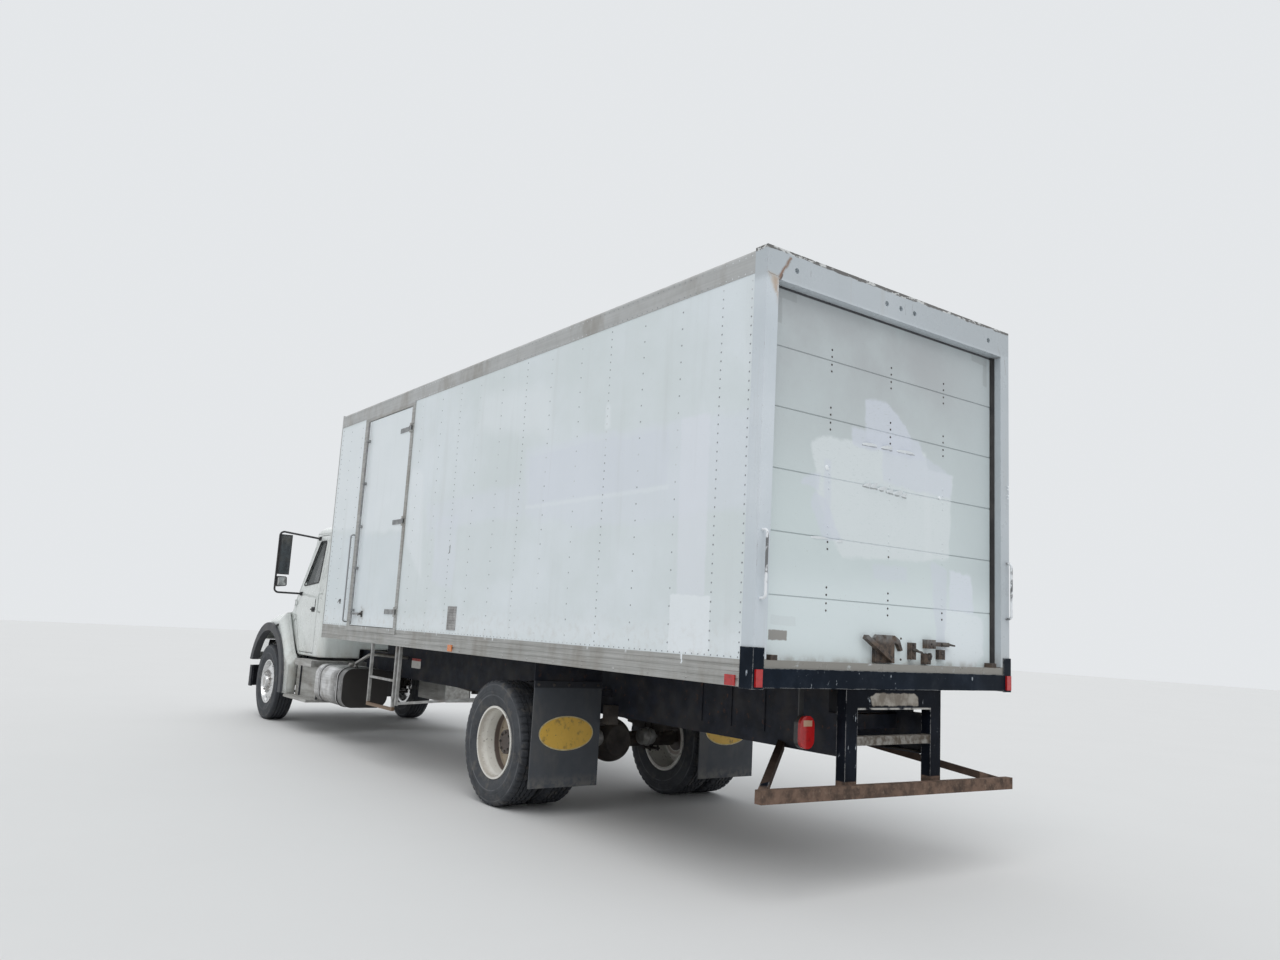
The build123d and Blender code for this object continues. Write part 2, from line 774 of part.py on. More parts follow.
def fuel_tank():
    """Aluminium tank with rounded corners, on brackets from the frame and under two straps."""
    y1, y0 = tank_outer, tank_outer - tank_width
    section = [(y0, tank_bottom), (y1, tank_bottom), (y1, tank_top), (y0, tank_top)]
    tank = length_prism(section, tank_rear, tank_rear + tank_length, radius=tank_corner)
    g = strap_thickness
    strap = [(y0 - g, tank_bottom - g), (y1 + g, tank_bottom - g), (y1 + g, tank_top + g),
             (y0 - g, tank_top + g)]
    for x in (tank_rear + 160, tank_rear + tank_length - 210):
        tank += length_prism(strap, x, x + 50, radius=tank_corner)
        tank += block(x, x + 50, rail_out, y0 + 40, tank_bottom + 120, frame_bottom + 60)
    return tank


def cab_steps():
    """Step treads each side of the cab, on the boxes behind and between them."""
    a, b, z0, z1, upper_out = upper_step
    c, d, z2, z3, lower_out = lower_step
    steps = block(a, b, step_box_inner, upper_out, z0, z1)
    steps += block(c, d, step_box_inner, lower_out, z2, z3)
    steps += block(a, d, step_box_inner, step_box_outer, z3, z0)
    for x in (a + 60, b - 120):
        steps += block(x, x + 60, rail_out, step_box_inner, frame_bottom + 20, z1)
    return both_sides(steps)


def air_tanks():
    """Two air tanks along the right rail on their saddles."""
    y, z = rail_out + air_tank_radius + 20, frame_bottom + 60
    solids = []
    for x in air_tank_stations:
        can = long_cylinder(x, x + air_tank_length, -y, z, air_tank_radius)
        for s in (x + 120, x + air_tank_length - 170):
            can += block(s, s + 50, -y, -rail_out, z - 40, z + 40)
        solids.append(can)
    return solids


def underride_guard():
    """Uprights, plate, tube, the bent bar at the foot and the arms back to the frame."""
    x0, x1 = 0, upright_depth
    guard = None
    for side in (-1, 1):
        y = side * (upright_inner + upright_width / 2)
        post = block(x0, x1, y - upright_width / 2, y + upright_width / 2,
                     upright_bottom, rail_bottom + 2)
        guard = post if guard is None else guard + post
    guard += block(x0, x0 + plate_thickness, -upright_inner, upright_inner,
                   name_plate_bottom, rail_bottom + 2)
    guard += block(x0 + 10, x1 - 10, -upright_inner, upright_inner, cross_tube_bottom,
                   cross_tube_bottom + cross_tube_height)
    bar_x = x0 - guard_bar_depth / 2
    left = (bar_x, guard_bar_half, guard_bar_left_z)
    right = (bar_x, -guard_bar_half, guard_bar_right_z)
    bar = strut(left, right, guard_bar_depth, guard_bar_height)
    arms = []
    for side, z in ((1, guard_bar_left_z), (-1, guard_bar_right_z)):
        arm = strut((x0 - 20, side * (guard_bar_half - 30), z),
                    (guard_arm_reach, side * (rail_out - 30), frame_bottom + 20),
                    guard_arm_size, guard_arm_size)
        arm -= block(-100, 1000, -rail_out, rail_out, 0, 1200)
        arm -= block(-300, x0 - 10, -1500, 1500, 0, 1200)
        arms.append(arm)
    return [guard, bar + arms[0] + arms[1]]


def lamp_body(x, y, z, width, height, depth):
    """An upright lamp with round ends, facing back."""
    points = [(y - width / 2, z - height / 2), (y + width / 2, z - height / 2),
              (y + width / 2, z + height / 2), (y - width / 2, z + height / 2)]
    return length_prism(points, x, x + depth, radius=width * 0.45)


def red_lamps():
    """Tail lamps on their drop brackets, reflectors on the beam's ends and rear side markers."""
    solids = []
    tail = lamp_body(170, 645, 947, 125, 205, 60)
    tail += block(230, 240, 625, 665, 860, sill_top)
    solids += both_sides(tail)
    solids += both_sides(block(-plate_thickness - 14, -plate_thickness, 1234, 1288, 1238, 1342))
    solids += both_sides(block(150, 239, half, half + 10, 1234, 1298))
    return solids


def amber_lamps():
    """Side markers half way along the body."""
    return both_sides(block(4020, 4100, half, half + 10, 1240, 1300))


# Cab

def cab_solid(inset):
    """The closed form of the cab, round at its rear edges, drawn in by an inset."""
    rake = radians(windscreen_rake)
    g = inset
    low, top = 700, cab_roof_height - g
    height = cab_roof_height - low
    nose = cowl_front + tan(rake) * (belt_height - low) - g / cos(rake)
    side_end = nose - screen_bulge
    back, w = cab_back + g, cab_half_width - g
    plan = [(back, -w), (side_end - screen_corner, -w), (side_end, screen_corner * 1.4 - w),
            (nose, -w * 0.4), (nose, w * 0.4), (side_end, w - screen_corner * 1.4),
            (side_end - screen_corner, w), (back, w)]
    base = outline([(x, y, low) for x, y in plan])
    raked = extrude(base, amount=height / cos(rake), dir=(-sin(rake), 0, cos(rake)))
    raked += block(back, side_end - 1100, -w, w, low, cab_roof_height)
    front = cowl_front - g
    side = [(back, cab_bottom), (toe_station - g, cab_bottom), (front, 1400),
            (front, cab_roof_height - brow[0][1])]
    side += [(front - run, top - drop) for run, drop in brow] + [(back, top)]
    lean = tan(radians(roof_lean)) * (top - belt_height)
    section = [(-w, cab_bottom), (w, cab_bottom), (w, belt_height), (w - lean, top),
               (lean - w, top), (-w, belt_height)]
    across = length_prism(section, back, front, radius=[0, 0, 0, 110 - g, 110 - g, 0])
    cab = raked & side_prism(side, -w, w) & across
    rear = cab.faces().sort_by(Axis.X)[0].edges()
    upright = [e for e in rear if abs(e.center().Y) > w / 2 and e.length > 2 * cab_corner]
    return fillet(upright, cab_corner - g)


def door_outline(gap):
    """Side outline of a cab door's opening, drawn in by a gap."""
    slope = tan(radians(windscreen_rake))
    front = door_hinge_station - gap
    top_front = front - slope * (roof_line - gap - belt_height - 20)
    return [(door_rear_edge + gap, door_sill + gap), (toe_station - 30 - gap, door_sill + gap),
            (front, 1480), (front, belt_height + 20), (top_front, roof_line - gap),
            (door_rear_edge + gap, roof_line - gap)]


def window_outline():
    slope = tan(radians(windscreen_rake))
    foot, back = door_hinge_station - 100, door_rear_edge + 85
    high, base = roof_line - 80, belt_height + 20
    return [(back, window_rear_height), (foot - slope * (window_front_height - base),
                                         window_front_height),
            (foot - slope * (high - base), high), (back, high)]


def screen_hole():
    """The windscreen's opening, cut square to the glass."""
    rake = radians(windscreen_rake)
    low = Vector(cowl_front - screen_bulge / 2, 0, belt_height)
    up = Vector(-sin(rake), 0, cos(rake))
    plane = Plane(origin=low + up * 430, x_dir=(0, 1, 0), z_dir=(cos(rake), 0, sin(rake)))
    return extrude(plane * RectangleRounded(1700, 740, 90), amount=200, both=True)


cab_outer = cab_solid(0)
door_reach = (cab_half_width - 335, cab_half_width + 165)
shell_split = cab_back + 780
cab_inner = cab_solid(cab_wall) + block(cab_back + cab_corner, shell_split,
                                        cab_wall - cab_half_width, cab_half_width - cab_wall,
                                        cab_bottom - 1, 1100)
door_hole = side_prism(door_outline(0), *door_reach)
window_hole = side_prism(window_outline(), *door_reach, radius=[60, 40, 40, 60])
rear_window_hole = block(cab_back - 50, cab_back + 150, -480, 480, cab_roof_height - 790,
                         cab_roof_height - 310)


def hinge_pins():
    """Pins of the left door's two hinges, each on a bracket from the pillar ahead of it."""
    y = cab_half_width + door_hinge_out
    pieces = []
    for z in cab_hinge_heights:
        pin = upright_cylinder(door_hinge_station + 12, y, z - 42, z + 42, 5)
        for low in (z - 42, z + 28):
            pin += block(door_hinge_station + 4, door_hinge_station + 50, y - door_hinge_out,
                         y + 4, low, low + 14)
        pieces.append(pin)
    return pieces


def cab_door():
    """The left door: its skin and frame, cut for the window, with its two hinge leaves."""
    y = cab_half_width + door_hinge_out
    door = (cab_outer - cab_inner) & side_prism(door_outline(cab_gap), *door_reach)
    door -= window_hole
    x = door_hinge_station + 12
    for z in cab_hinge_heights:
        leaf = upright_cylinder(x, y, z - 27, z + 27, 9)
        leaf += block(x - 60, x, y - door_hinge_out, y + 4, z - 27, z + 27)
        door += leaf - upright_cylinder(x, y, z - 60, z + 60, 5 + running_gap)
    return door


def glass_layer():
    return cab_solid(glass_inset) - cab_solid(glass_inset + glass_thickness)


def cab_pieces():
    """Cab shell as floor, back, roof and front, cut for the doors, with grab handles behind."""
    far, behind, ahead = half, cab_back - 100, hood_front
    shell = cab_outer - cab_inner - door_hole - other_side(door_hole)
    shell = shell - screen_hole() - rear_window_hole
    shell -= block(behind, ahead, -cab_tunnel_half, cab_tunnel_half, 0, cab_floor_bottom)
    top = roof_line + 20
    roof = shell & block(behind, ahead, -far, far, top, body_top)
    below = shell & block(behind, ahead, -far, far, 0, top)
    back = below & block(behind, shell_split, -far, far, 0, body_top)
    front = below & block(shell_split, ahead, -far, far, 0, body_top)
    grab = bow_handle(*cab_grab_heights, (cab_back + 140, cab_half_width - 4), 44, (0, 1))
    for handle in both_sides(grab):
        back += handle
    for pin in hinge_pins():
        front += pin
        front += other_side(pin)
    inside = cab_half_width - cab_wall
    floor = cab_inner & block(behind, toe_station + 200, -inside, inside, cab_floor_bottom,
                              cab_floor_top)
    doorway = block(door_rear_edge - 10, toe_station + 100, inside - cab_gap, far, 0, roof_line)
    return floor - doorway - other_side(doorway), back, roof, front


def cab_interior():
    """Two seats on their bases, the dashboard and the sleeve of the steering column."""
    solids = []
    low = cab_floor_top
    x = cab_back + 220
    for y in (seat_across, -seat_across):
        seat = block(x + 80, x + 560, y - 250, y + 250, low, low + 330)
        back = side_prism([(x, low + 200), (x + 140, low + 200), (x + 140, low + 330),
                           (x + 50, low + 1000), (x - 80, low + 1000)], y - 250, y + 250)
        solids.append(seat + back)
    inside = cab_half_width - cab_wall - 40
    x = cab_back + 980
    dash = side_prism([(x + 20, 1420), (x + 400, 1470), (x + 400, 1660), (x + 80, 1700),
                       (x, 1600)], -inside, inside) & cab_solid(cab_wall)
    dash += steering_place() * Pos(0, 0, -260) * Cylinder(34, 140)
    dash -= steering_place() * Pos(0, 0, -230) * Cylinder(18 + running_gap, 100)
    solids.append(dash)
    return solids


def steering_place():
    return Pos(*steering_centre) * Rot(0, -steering_tilt, 0)


def steering_wheel():
    """Wheel with three spokes on the end of its raked shaft."""
    ring = Torus(225, 16) + Cylinder(40, 30)
    for angle in (0, 120, 240):
        ring += Rot(0, 0, angle) * Pos(125, 0, 0) * Box(210, 30, 14)
    ring += Pos(0, 0, -130) * Cylinder(18, 250)
    return steering_place() * ring


def skin_out(z):
    """How far out the cab's side is at a height above the belt."""
    return cab_half_width - tan(radians(roof_lean)) * (z - belt_height)


def mirror_foot(x, z):
    """A foot pad on the sloping side, about a point."""
    low, high, t = z - 26, z + 26, 24
    return length_prism([(skin_out(low), low), (skin_out(high), high),
                         (skin_out(high) + t, high), (skin_out(low) + t, low)], x - 22, x + 22)


def mirror_unit():
    """Left mirror: one bent tube off the door, a tall flat head on it and a round one below."""
    x, out = mirror_station, mirror_tube_out
    low, high, root = 1766, 2600, 2520
    path = FilletPolyline((mirror_root_station, skin_out(root) + 14, root), (x, out, high),
                          (x, out, low), (x, skin_out(low) + 14, low), radius=55)
    unit = sweep(Plane(origin=path @ 0, z_dir=path % 0) * Circle(13), path=path)
    unit += mirror_foot(x, low) + mirror_foot(mirror_root_station, root)
    tall = [(x - 32, out - 165), (x - 32, out - 8), (x + 6, out - 8), (x + 30, out - 50),
            (x + 30, out - 130), (x + 6, out - 165)]
    unit += plan_prism(tall, 2012, 2556, radius=[8, 8, 8, 20, 20, 8])
    face = [(out - 150, 1858), (out - 8, 1840), (out - 8, 1985), (out - 140, 1985)]
    return unit + length_prism(face, x - 34, x + 34, radius=24)


# Hood and front end

# run ahead of the hood's rear, half widths and heights of the crown, shoulder, wing and side
hood_sections = (
    (0, 700, 1640, 860, 1575, 1060, 1492, 1180, 1372),
    (365, 660, 1622, 800, 1548, 1050, 1475, 1180, 1355),
    (815, 600, 1572, 720, 1490, 1035, 1400, 1180, 1270),
    (1075, 560, 1500, 660, 1420, 990, 1310, 1140, 1170),
    (1200, 535, 1400, 620, 1330, 900, 1200, 1010, 1080),
)


def hood_form(inset):
    """Closed form of the hood with its wings, drawn in by an inset from its outer skin."""
    g = inset
    faces = []
    for run, crown, z1, shoulder, z2, wing, z3, side, z4 in hood_sections:
        left = [(side - g, hood_bottom), (side - g, z4 - g / 2), (wing - g, z3 - g),
                (shoulder - g, z2 - g), (crown - g, z1 - g)]
        right = [(-y, z) for y, z in reversed(left)]
        place = min(hood_rear + run, hood_front - g)
        faces.append(outline([(place, y, z) for y, z in left + right]))
    return loft(faces, ruled=True)


def wing_form(inset):
    """Closed form of the left wing behind the hood's rear edge, beside the cab."""
    g = inset
    joint = hood_rear + 10
    x = wing_rear
    near = [(x + g, wing_bottom), (x + g, 885 - g), (x + 160, 1005 - g * 1.2),
            (x + 537 + g / 2, 1500 - g), (joint, 1492 - g), (joint, wing_bottom)]
    far = [(x + g, wing_bottom), (x + g, 800 - g), (x + 195, 900 - g * 1.2),
           (x + 565 + g / 2, 1368 - g), (joint, 1372 - g), (joint, wing_bottom)]
    faces = [outline([(x, wing_inner + g * 0.3, z) for x, z in near]),
             outline([(x, wing_inner + 30, z) for x, z in near]),
             outline([(x, wing_outer - g, z) for x, z in far])]
    return loft(faces, ruled=True)


def arch_cut(radius, y0, y1):
    return cross_cylinder(arch_station, y0, y1, arch_height, radius)


def lamp_hole():
    """The left headlamp's opening, through the nose and round its corner."""
    return block(hood_front - 135, bumper_front, 700, half, 900, 1090)


def hood():
    """Hood with its wings, hollow below, open at the grille, the lamps and the wheels."""
    wing = wing_form(0)
    shell = hood_form(0) + wing + other_side(wing)
    inner = wing_form(hood_skin)
    shell -= hood_form(hood_skin)
    shell -= inner
    shell -= other_side(inner)
    for y0, y1 in ((700, half), (-half, -700)):
        shell -= arch_cut(flare_inner + 60, y0, y1)
    shell -= block(hood_front - 60, bumper_front, -grille_half, grille_half, grille_bottom, grille_top)
    shell -= lamp_hole()
    shell -= other_side(lamp_hole())
    x, z = hood_pivot_station, hood_pivot_height
    lug = side_prism([(x - 35, z - 30), (x + 35, z - 30), (hood_front - 20, 800),
                      (hood_front - 20, 860), (x - 35, 860)], 480, 505)
    lug -= cross_cylinder(x, 470, 515, z, 15 + running_gap)
    return shell + lug + other_side(lug)


def headlamps():
    lamp = (hood_form(6) - hood_form(hood_skin)) & lamp_hole()
    return both_sides(lamp)


def grille():
    """Frame and level bars in the nose opening."""
    x0, x1 = hood_front - hood_skin, hood_front - 4
    w, low, high, rim = grille_half, grille_bottom, grille_top, 30
    frame = block(x0, x1, -w, w, low, high)
    frame -= block(x0 - 1, x1 + 1, rim - w, w - rim, low + rim, high - rim)
    pitch = (high - low - 2 * rim) / 6
    for k in range(1, 6):
        z = low + rim + k * pitch
        frame += block(x0 + 4, x1 - 4, rim - w, w - rim, z - 9, z + 9)
    for y in (-w / 2, 0, w / 2):
        frame += block(x0 + 2, x1 - 8, y - 8, y + 8, low + rim, high - rim)
    return frame


def fender_flares():
    """Wide lips round the front wheel openings."""
    y0, y1 = wing_outer - flare_depth, wing_outer + flare_proud
    low = wing_bottom
    ring = arch_cut(flare_outer, y0, y1) - arch_cut(flare_inner, y0 - 1, y1 + 1)
    top, reach = arch_height + flare_outer, flare_outer + 10
    behind = block(arch_station - reach, arch_station, y0, y1, low, top)
    ring &= behind + block(arch_station, arch_station + reach, y0, y1, hood_bottom, top)
    inner_part = ring & arch_cut(flare_inner + 60, y0, y1)
    outer_part = ring & block(arch_station - reach, arch_station + reach, wing_outer, y1, 0, top)
    return both_sides(outer_part + inner_part)


def bumper_band(inset):
    """Plan outline of the bumper, drawn in by an inset."""
    g = inset
    w, wrap, ahead = bumper_half - g, bumper_rear + 100, bumper_front - g
    nose = w - 225
    return [(bumper_rear, -w), (wrap, -w), (ahead, -nose), (ahead, nose), (wrap, w),
            (bumper_rear, w)]


def front_bumper():
    """Wrapped bumper and the brackets that carry it and the hood's pins."""
    g = bumper_skin
    shell = plan_prism(bumper_band(0), bumper_bottom, bumper_top)
    shell -= plan_prism(bumper_band(g), bumper_bottom - 1, bumper_top + 1)
    y0, y1 = rail_out, rail_out + 24
    inside = bumper_front - g
    x, z = hood_pivot_station, hood_pivot_height
    rear = frame_front - 180
    bracket = side_prism([(rear, 900), (rear, frame_bottom), (rear + 80, 640), (rear + 260, 500),
                          (inside, 500), (inside, 660), (x + 46, 700), (x + 44, z + 8),
                          (x + 22, z + 38), (x - 50, z + 40), (rear + 160, 900)], y0, y1)
    bracket += cross_cylinder(x, y1, y1 + 60, z, 15)
    bracket -= cross_cylinder(tow_station, y0 - 10, y1 + 10, tow_height, tow_bore / 2)
    return [shell, *both_sides(bracket)]


os.makedirs("parts", exist_ok=True)

write("rear_frame", rear_frame())
write("bumper_beam", bumper_beam())
write("roll_door", roll_door())
write("body_hardware", body_hardware())
write("side_wall_left", side_wall(True))
write("side_wall_right", side_wall(False))
write("front_wall", front_wall())
write("roof_panel", roof_panel())
write("body_rails", body_rails())
write("side_door_frame", side_door_frame())
write("side_door", side_door())
write("side_door_hardware", side_door_hardware())
write("side_ladder", side_ladder())
write("body_floor", body_floor())
write("body_sills", body_sills())
write("frame_rails", frame_rails())
write("frame_crossmembers", frame_crossmembers())
write("mud_flaps", mud_flaps())
write("leaf_springs", leaf_springs())
write("rear_axle", rear_axle())
write("front_axle", front_axle())
write("knuckle_left", knuckle())
write("knuckle_right", other_side(knuckle()))
write("tie_rod", tie_rod())
rear_outer = dual_centre + dual_half_spacing
rear_inner = dual_centre - dual_half_spacing
rear_tyres = [tyre(rear_axle_station, rear_outer), tyre(rear_axle_station, rear_inner)]
write("rear_tyres_left", rear_tyres)
write("rear_tyres_right", [other_side(t) for t in rear_tyres])
write("rear_wheels_left", rear_wheel())
write("rear_wheels_right", other_side(rear_wheel()))
write("front_tyre_left", tyre(front_axle_station, front_tyre_centre))
write("front_tyre_right", tyre(front_axle_station, -front_tyre_centre))
write("front_wheel_left", front_wheel())
write("front_wheel_right", other_side(front_wheel()))
write("engine", engine())
write("drive_shaft", drive_shaft())
write("exhaust", exhaust())
write("fuel_tank", fuel_tank())
write("cab_steps", cab_steps())
write("air_tanks", air_tanks())
write("underride_guard", underride_guard())
write("red_lamps", red_lamps())
write("amber_lamps", amber_lamps())
floor, back, roof, front = cab_pieces()
write("cab_floor", floor)
write("cab_back", back)
write("cab_roof", roof)
write("cab_front", front)
layer = glass_layer()
write("cab_glass", [layer & screen_hole(), layer & rear_window_hole])
write("cab_interior", cab_interior())
write("steering_wheel", steering_wheel())
write("cab_door_left", cab_door())
write("cab_door_right", other_side(cab_door()))
pane = layer & window_hole
write("door_glass_left", pane)
write("door_glass_right", other_side(pane))
write("mirror_left", mirror_unit())
write("mirror_right", other_side(mirror_unit()))
write("hood", hood())
write("headlamps", headlamps())
write("grille", grille())
write("fender_flares", fender_flares())
write("front_bumper", front_bumper())
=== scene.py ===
"""The dressed look of a box truck: paint, rust, rivets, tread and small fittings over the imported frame."""

import math

import bmesh
import bpy
from mathutils import Matrix, Vector


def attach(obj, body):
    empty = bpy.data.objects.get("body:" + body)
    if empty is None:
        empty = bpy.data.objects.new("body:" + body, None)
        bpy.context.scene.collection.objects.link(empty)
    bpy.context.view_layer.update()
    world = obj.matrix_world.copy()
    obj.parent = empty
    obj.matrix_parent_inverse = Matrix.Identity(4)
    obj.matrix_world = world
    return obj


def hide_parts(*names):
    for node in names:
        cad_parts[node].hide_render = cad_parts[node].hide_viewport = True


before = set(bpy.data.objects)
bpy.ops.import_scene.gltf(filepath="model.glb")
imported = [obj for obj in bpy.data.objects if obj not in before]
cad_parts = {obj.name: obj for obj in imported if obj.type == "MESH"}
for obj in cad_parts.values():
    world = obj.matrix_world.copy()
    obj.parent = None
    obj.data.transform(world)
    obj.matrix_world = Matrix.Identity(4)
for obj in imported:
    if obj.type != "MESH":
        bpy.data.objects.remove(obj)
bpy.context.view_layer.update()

# Places are in millimetres, as in the part's source: x is measured ahead of the rear frame's rear face.
MID_STATION = 5537.5
SIDES = ((1, "left"), (-1, "right"))
FRONT_AXLE, REAR_AXLE, AXLE_HEIGHT = 10181, 3279, 520
REAR_TYRES = (1083, 746)
TWIN_MIDDLE = sum(REAR_TYRES) / 2
FRONT_TYRE = 1027.5
TYRE_HALF = 139.5
WALL, RAIL, INNER_WALL = 1292.5, 1295.5, 1255
SIDE_DOOR = (5360, 6795)
DOOR_FACE = 78
DOOR_SEAMS = [3374.5 - 395.5 * k for k in range(5)]
CAB_BACK, CAB_BELT = 8420, 1690
SCREEN_RAKE = math.radians(31)
LAMP_Y, LAMP_Z = 822, 995


def at(x, y, z):
    return Vector((x - MID_STATION, y, z)) / 1000


def circle(count, phase=0.0):
    """Cosine and sine of equal steps round a turn; the phase is a part of one step."""
    turn = [2 * math.pi * (i + phase) / count for i in range(count)]
    return [(math.cos(t), math.sin(t)) for t in turn]


def steps(low, high, pitch):
    return [low + pitch * k for k in range(math.ceil((high - low) / pitch))]


def rectangle(a0, a1, b0, b1):
    return [(a0, b0), (a1, b0), (a1, b1), (a0, b1)]


def scaled(tone, by):
    return tuple(min(1.0, by * v) for v in tone)


# Materials

made = {}
WHITE = (0.775, 0.83, 0.86)
COOL_WHITE = (0.745, 0.785, 0.85)
FRESH_WHITE = (0.84, 0.885, 0.91)
OLD_WHITE = (0.69, 0.75, 0.755)
GRIME = (0.30, 0.27, 0.23)
DARK_RUST = (0.09, 0.04, 0.022)
DUST = (0.22, 0.19, 0.16)


class Nodes:
    """A node tree, with short helpers that add to it."""

    def __init__(self, tree):
        self.tree = tree

    def node(self, kind, *values, **settings):
        """A new node with its settings, its first inputs fed in their order."""
        new = self.tree.nodes.new("ShaderNode" + kind)
        for key, value in settings.items():
            setattr(new, key, value)
        for socket, value in zip(new.inputs, values):
            self.feed(socket, value)
        return new

    def feed(self, socket, value):
        """Link or set a socket; several numbers for a socket that takes one are the settings of a noise."""
        if socket.type == "VALUE" and isinstance(value, tuple):
            value = self.noise(*value)
        if isinstance(value, bpy.types.NodeSocket):
            self.tree.links.new(value, socket)
        elif socket.type == "RGBA":
            socket.default_value = (*value, 1)
        else:
            socket.default_value = value

    def maths(self, operation, first, second=0.0):
        return self.node("Math", first, second, operation=operation).outputs[0]

    def chain(self, operation, first, *others):
        for value in others:
            first = self.maths(operation, first, value)
        return first

    def times(self, *values):
        return self.chain("MULTIPLY", *values)

    def most(self, *values):
        return self.chain("MAXIMUM", *values)


class Finish(Nodes):
    """One procedural material: a Principled shader, and helpers for the nodes that feed it.

    Its colour is built up by start() and over(). A mask is 0 to 1, and masks that come together are multiplied.
    """

    def __init__(self, name, rough=0.5, metal=0.0, coat=0.0, specular=0.5, sheen=0.0):
        made[name] = bpy.data.materials.new(name)
        made[name].use_nodes = True
        super().__init__(made[name].node_tree)
        self.surface = self.tree.nodes["Principled BSDF"].inputs
        for key, value in (("Roughness", rough), ("Metallic", metal), ("Coat Weight", coat),
                           ("Specular IOR Level", specular), ("Sheen Weight", sheen)):
            self.surface[key].default_value = value
        self.where = self.node("TexCoord").outputs["Object"]
        self.x, self.y, self.z = self.node("SeparateXYZ", self.where).outputs

    def mapped(self, stretch=(1, 1, 1), move=(0, 0, 0)):
        return self.node("Mapping", self.where, move, (0, 0, 0), stretch).outputs[0]

    def noise(self, scale, detail, low=None, high=None, stretch=(1, 1, 1), move=(0, 0, 0), distort=0.0, output="Fac"):
        """Noise as it comes, or as a mask: 0 where it is below low, 1 above high."""
        new = self.node("TexNoise", self.mapped(stretch, move))
        for name, value in (("Scale", scale), ("Detail", detail), ("Roughness", 0.6), ("Distortion", distort)):
            new.inputs[name].default_value = value
        return new.outputs[output] if low is None else self.rise(new.outputs[output], low, high)

    def cells(self, scale):
        new = self.node("TexVoronoi", self.mapped())
        new.inputs["Scale"].default_value = scale
        return new.outputs["Distance"]

    def vector(self, operation, *values):
        new = self.node("VectorMath", *values, operation=operation)
        return new.outputs["Value" if operation in ("LENGTH", "DOT_PRODUCT") else "Vector"]

    def sine(self, value, pace):
        return self.maths("SINE", self.times(value, pace))

    def rise(self, value, low, high):
        """0 below low, 1 above high, and smooth between; low may be the larger of the two."""
        return self.node("MapRange", value, low, high, interpolation_type="SMOOTHSTEP").outputs["Result"]

    def between(self, value, low, high, soft):
        return self.times(self.rise(value, low - soft, low + soft), self.rise(value, high + soft, high - soft))

    def mix(self, mask, first, second):
        new = self.node("Mix", mask, data_type="RGBA")
        self.feed(new.inputs[6], first)
        self.feed(new.inputs[7], second)
        return new.outputs[2]

    def blend(self, mask, first, second):
        new = self.node("Mix", mask, data_type="FLOAT")
        self.feed(new.inputs[2], first)
        self.feed(new.inputs[3], second)
        return new.outputs[0]

    def wavy(self, amount, scale):
        """The place, pushed about by noise, so that a patch's edge comes out ragged."""
        push = self.vector("MULTIPLY_ADD", self.noise(scale, 5, output="Color"), (amount,) * 3, self.where)
        return self.vector("SUBTRACT", push, (amount / 2,) * 3)

    def patch(self, place, axis, corners, soft):
        """A mask that is 1 inside a convex outline, which is given by the two axes other than the one named."""
        flat = [0, 0, 0]
        flat[axis] = 1
        corners = [at(*(*corner[:axis], 0, *corner[axis:])) for corner in corners]
        middle = sum(corners, Vector()) / len(corners)
        sides = []
        for first, second in zip(corners, corners[1:] + corners[:1]):
            across = (second - first).cross(Vector(flat)).normalized()
            if across.dot(middle - first) < 0:
                across.negate()
            start = across.dot(first)
            sides.append(self.rise(self.vector("DOT_PRODUCT", place, across), start - soft, start + soft))
        return self.times(*sides)

    def from_axle(self, place, axle):
        """How far a place is from a wheel's axis."""
        away = self.vector("SUBTRACT", place, at(axle, 0, AXLE_HEIGHT))
        return self.vector("LENGTH", self.vector("MULTIPLY", away, (1, 0, 1)))

    def edges(self, radius):
        """About 1 along sharp edges: where the normal that is rounded over the radius leaves the true one."""
        true = self.node("NewGeometry").outputs["Normal"]
        same = self.vector("DOT_PRODUCT", self.node("Bevel", radius, samples=4).outputs[0], true)
        return self.rise(self.maths("SUBTRACT", 1.0, same), 0.02, 0.25)

    def upward(self):
        """How far the surface faces up: 1 on a level top, 0 on an upright side."""
        normal = self.node("NewGeometry").outputs["Normal"]
        return self.node("SeparateXYZ", normal).outputs[2]

    def soften(self, radius):
        """Shade the edges as if they were rounded over a radius, in metres."""
        self.feed(self.surface["Normal"], self.node("Bevel", radius, samples=6).outputs[0])

    def start(self, mask, first, second):
        """The colour to begin with: the first tone where the mask is 0, the second where it is 1."""
        self.shade = self.mix(mask, first, second)
        self.feed(self.surface["Base Color"], self.shade)

    def over(self, tone, *masks):
        """Another tone over the colour so far."""
        self.start(self.times(*masks), self.shade, tone)

    def vary(self, mask, low, high, key="Roughness"):
        self.feed(self.surface[key], self.blend(mask, low, high))

    def height(self, value, depth, strength):
        """Bumps whose full height is depth, in metres."""
        new = self.node("Bump")
        new.inputs["Strength"].default_value = strength
        new.inputs["Distance"].default_value = depth
        self.feed(new.inputs["Height"], value)
        before = self.surface["Normal"].links
        if before:
            self.feed(new.inputs["Normal"], before[0].from_socket)
        self.feed(self.surface["Normal"], new.outputs[0])

    def bumps(self, *rows):
        """Bumps from noise; a row is scale, detail, depth, strength."""
        for scale, detail, depth, strength in rows:
            self.height(self.noise(scale, detail), depth, strength)


def finish(*settings, **others):
    """Make the finish that the function below lays on, under the function's name."""
    def make(lay_on):
        lay_on(Finish(lay_on.__name__, *settings, **others))
    return make


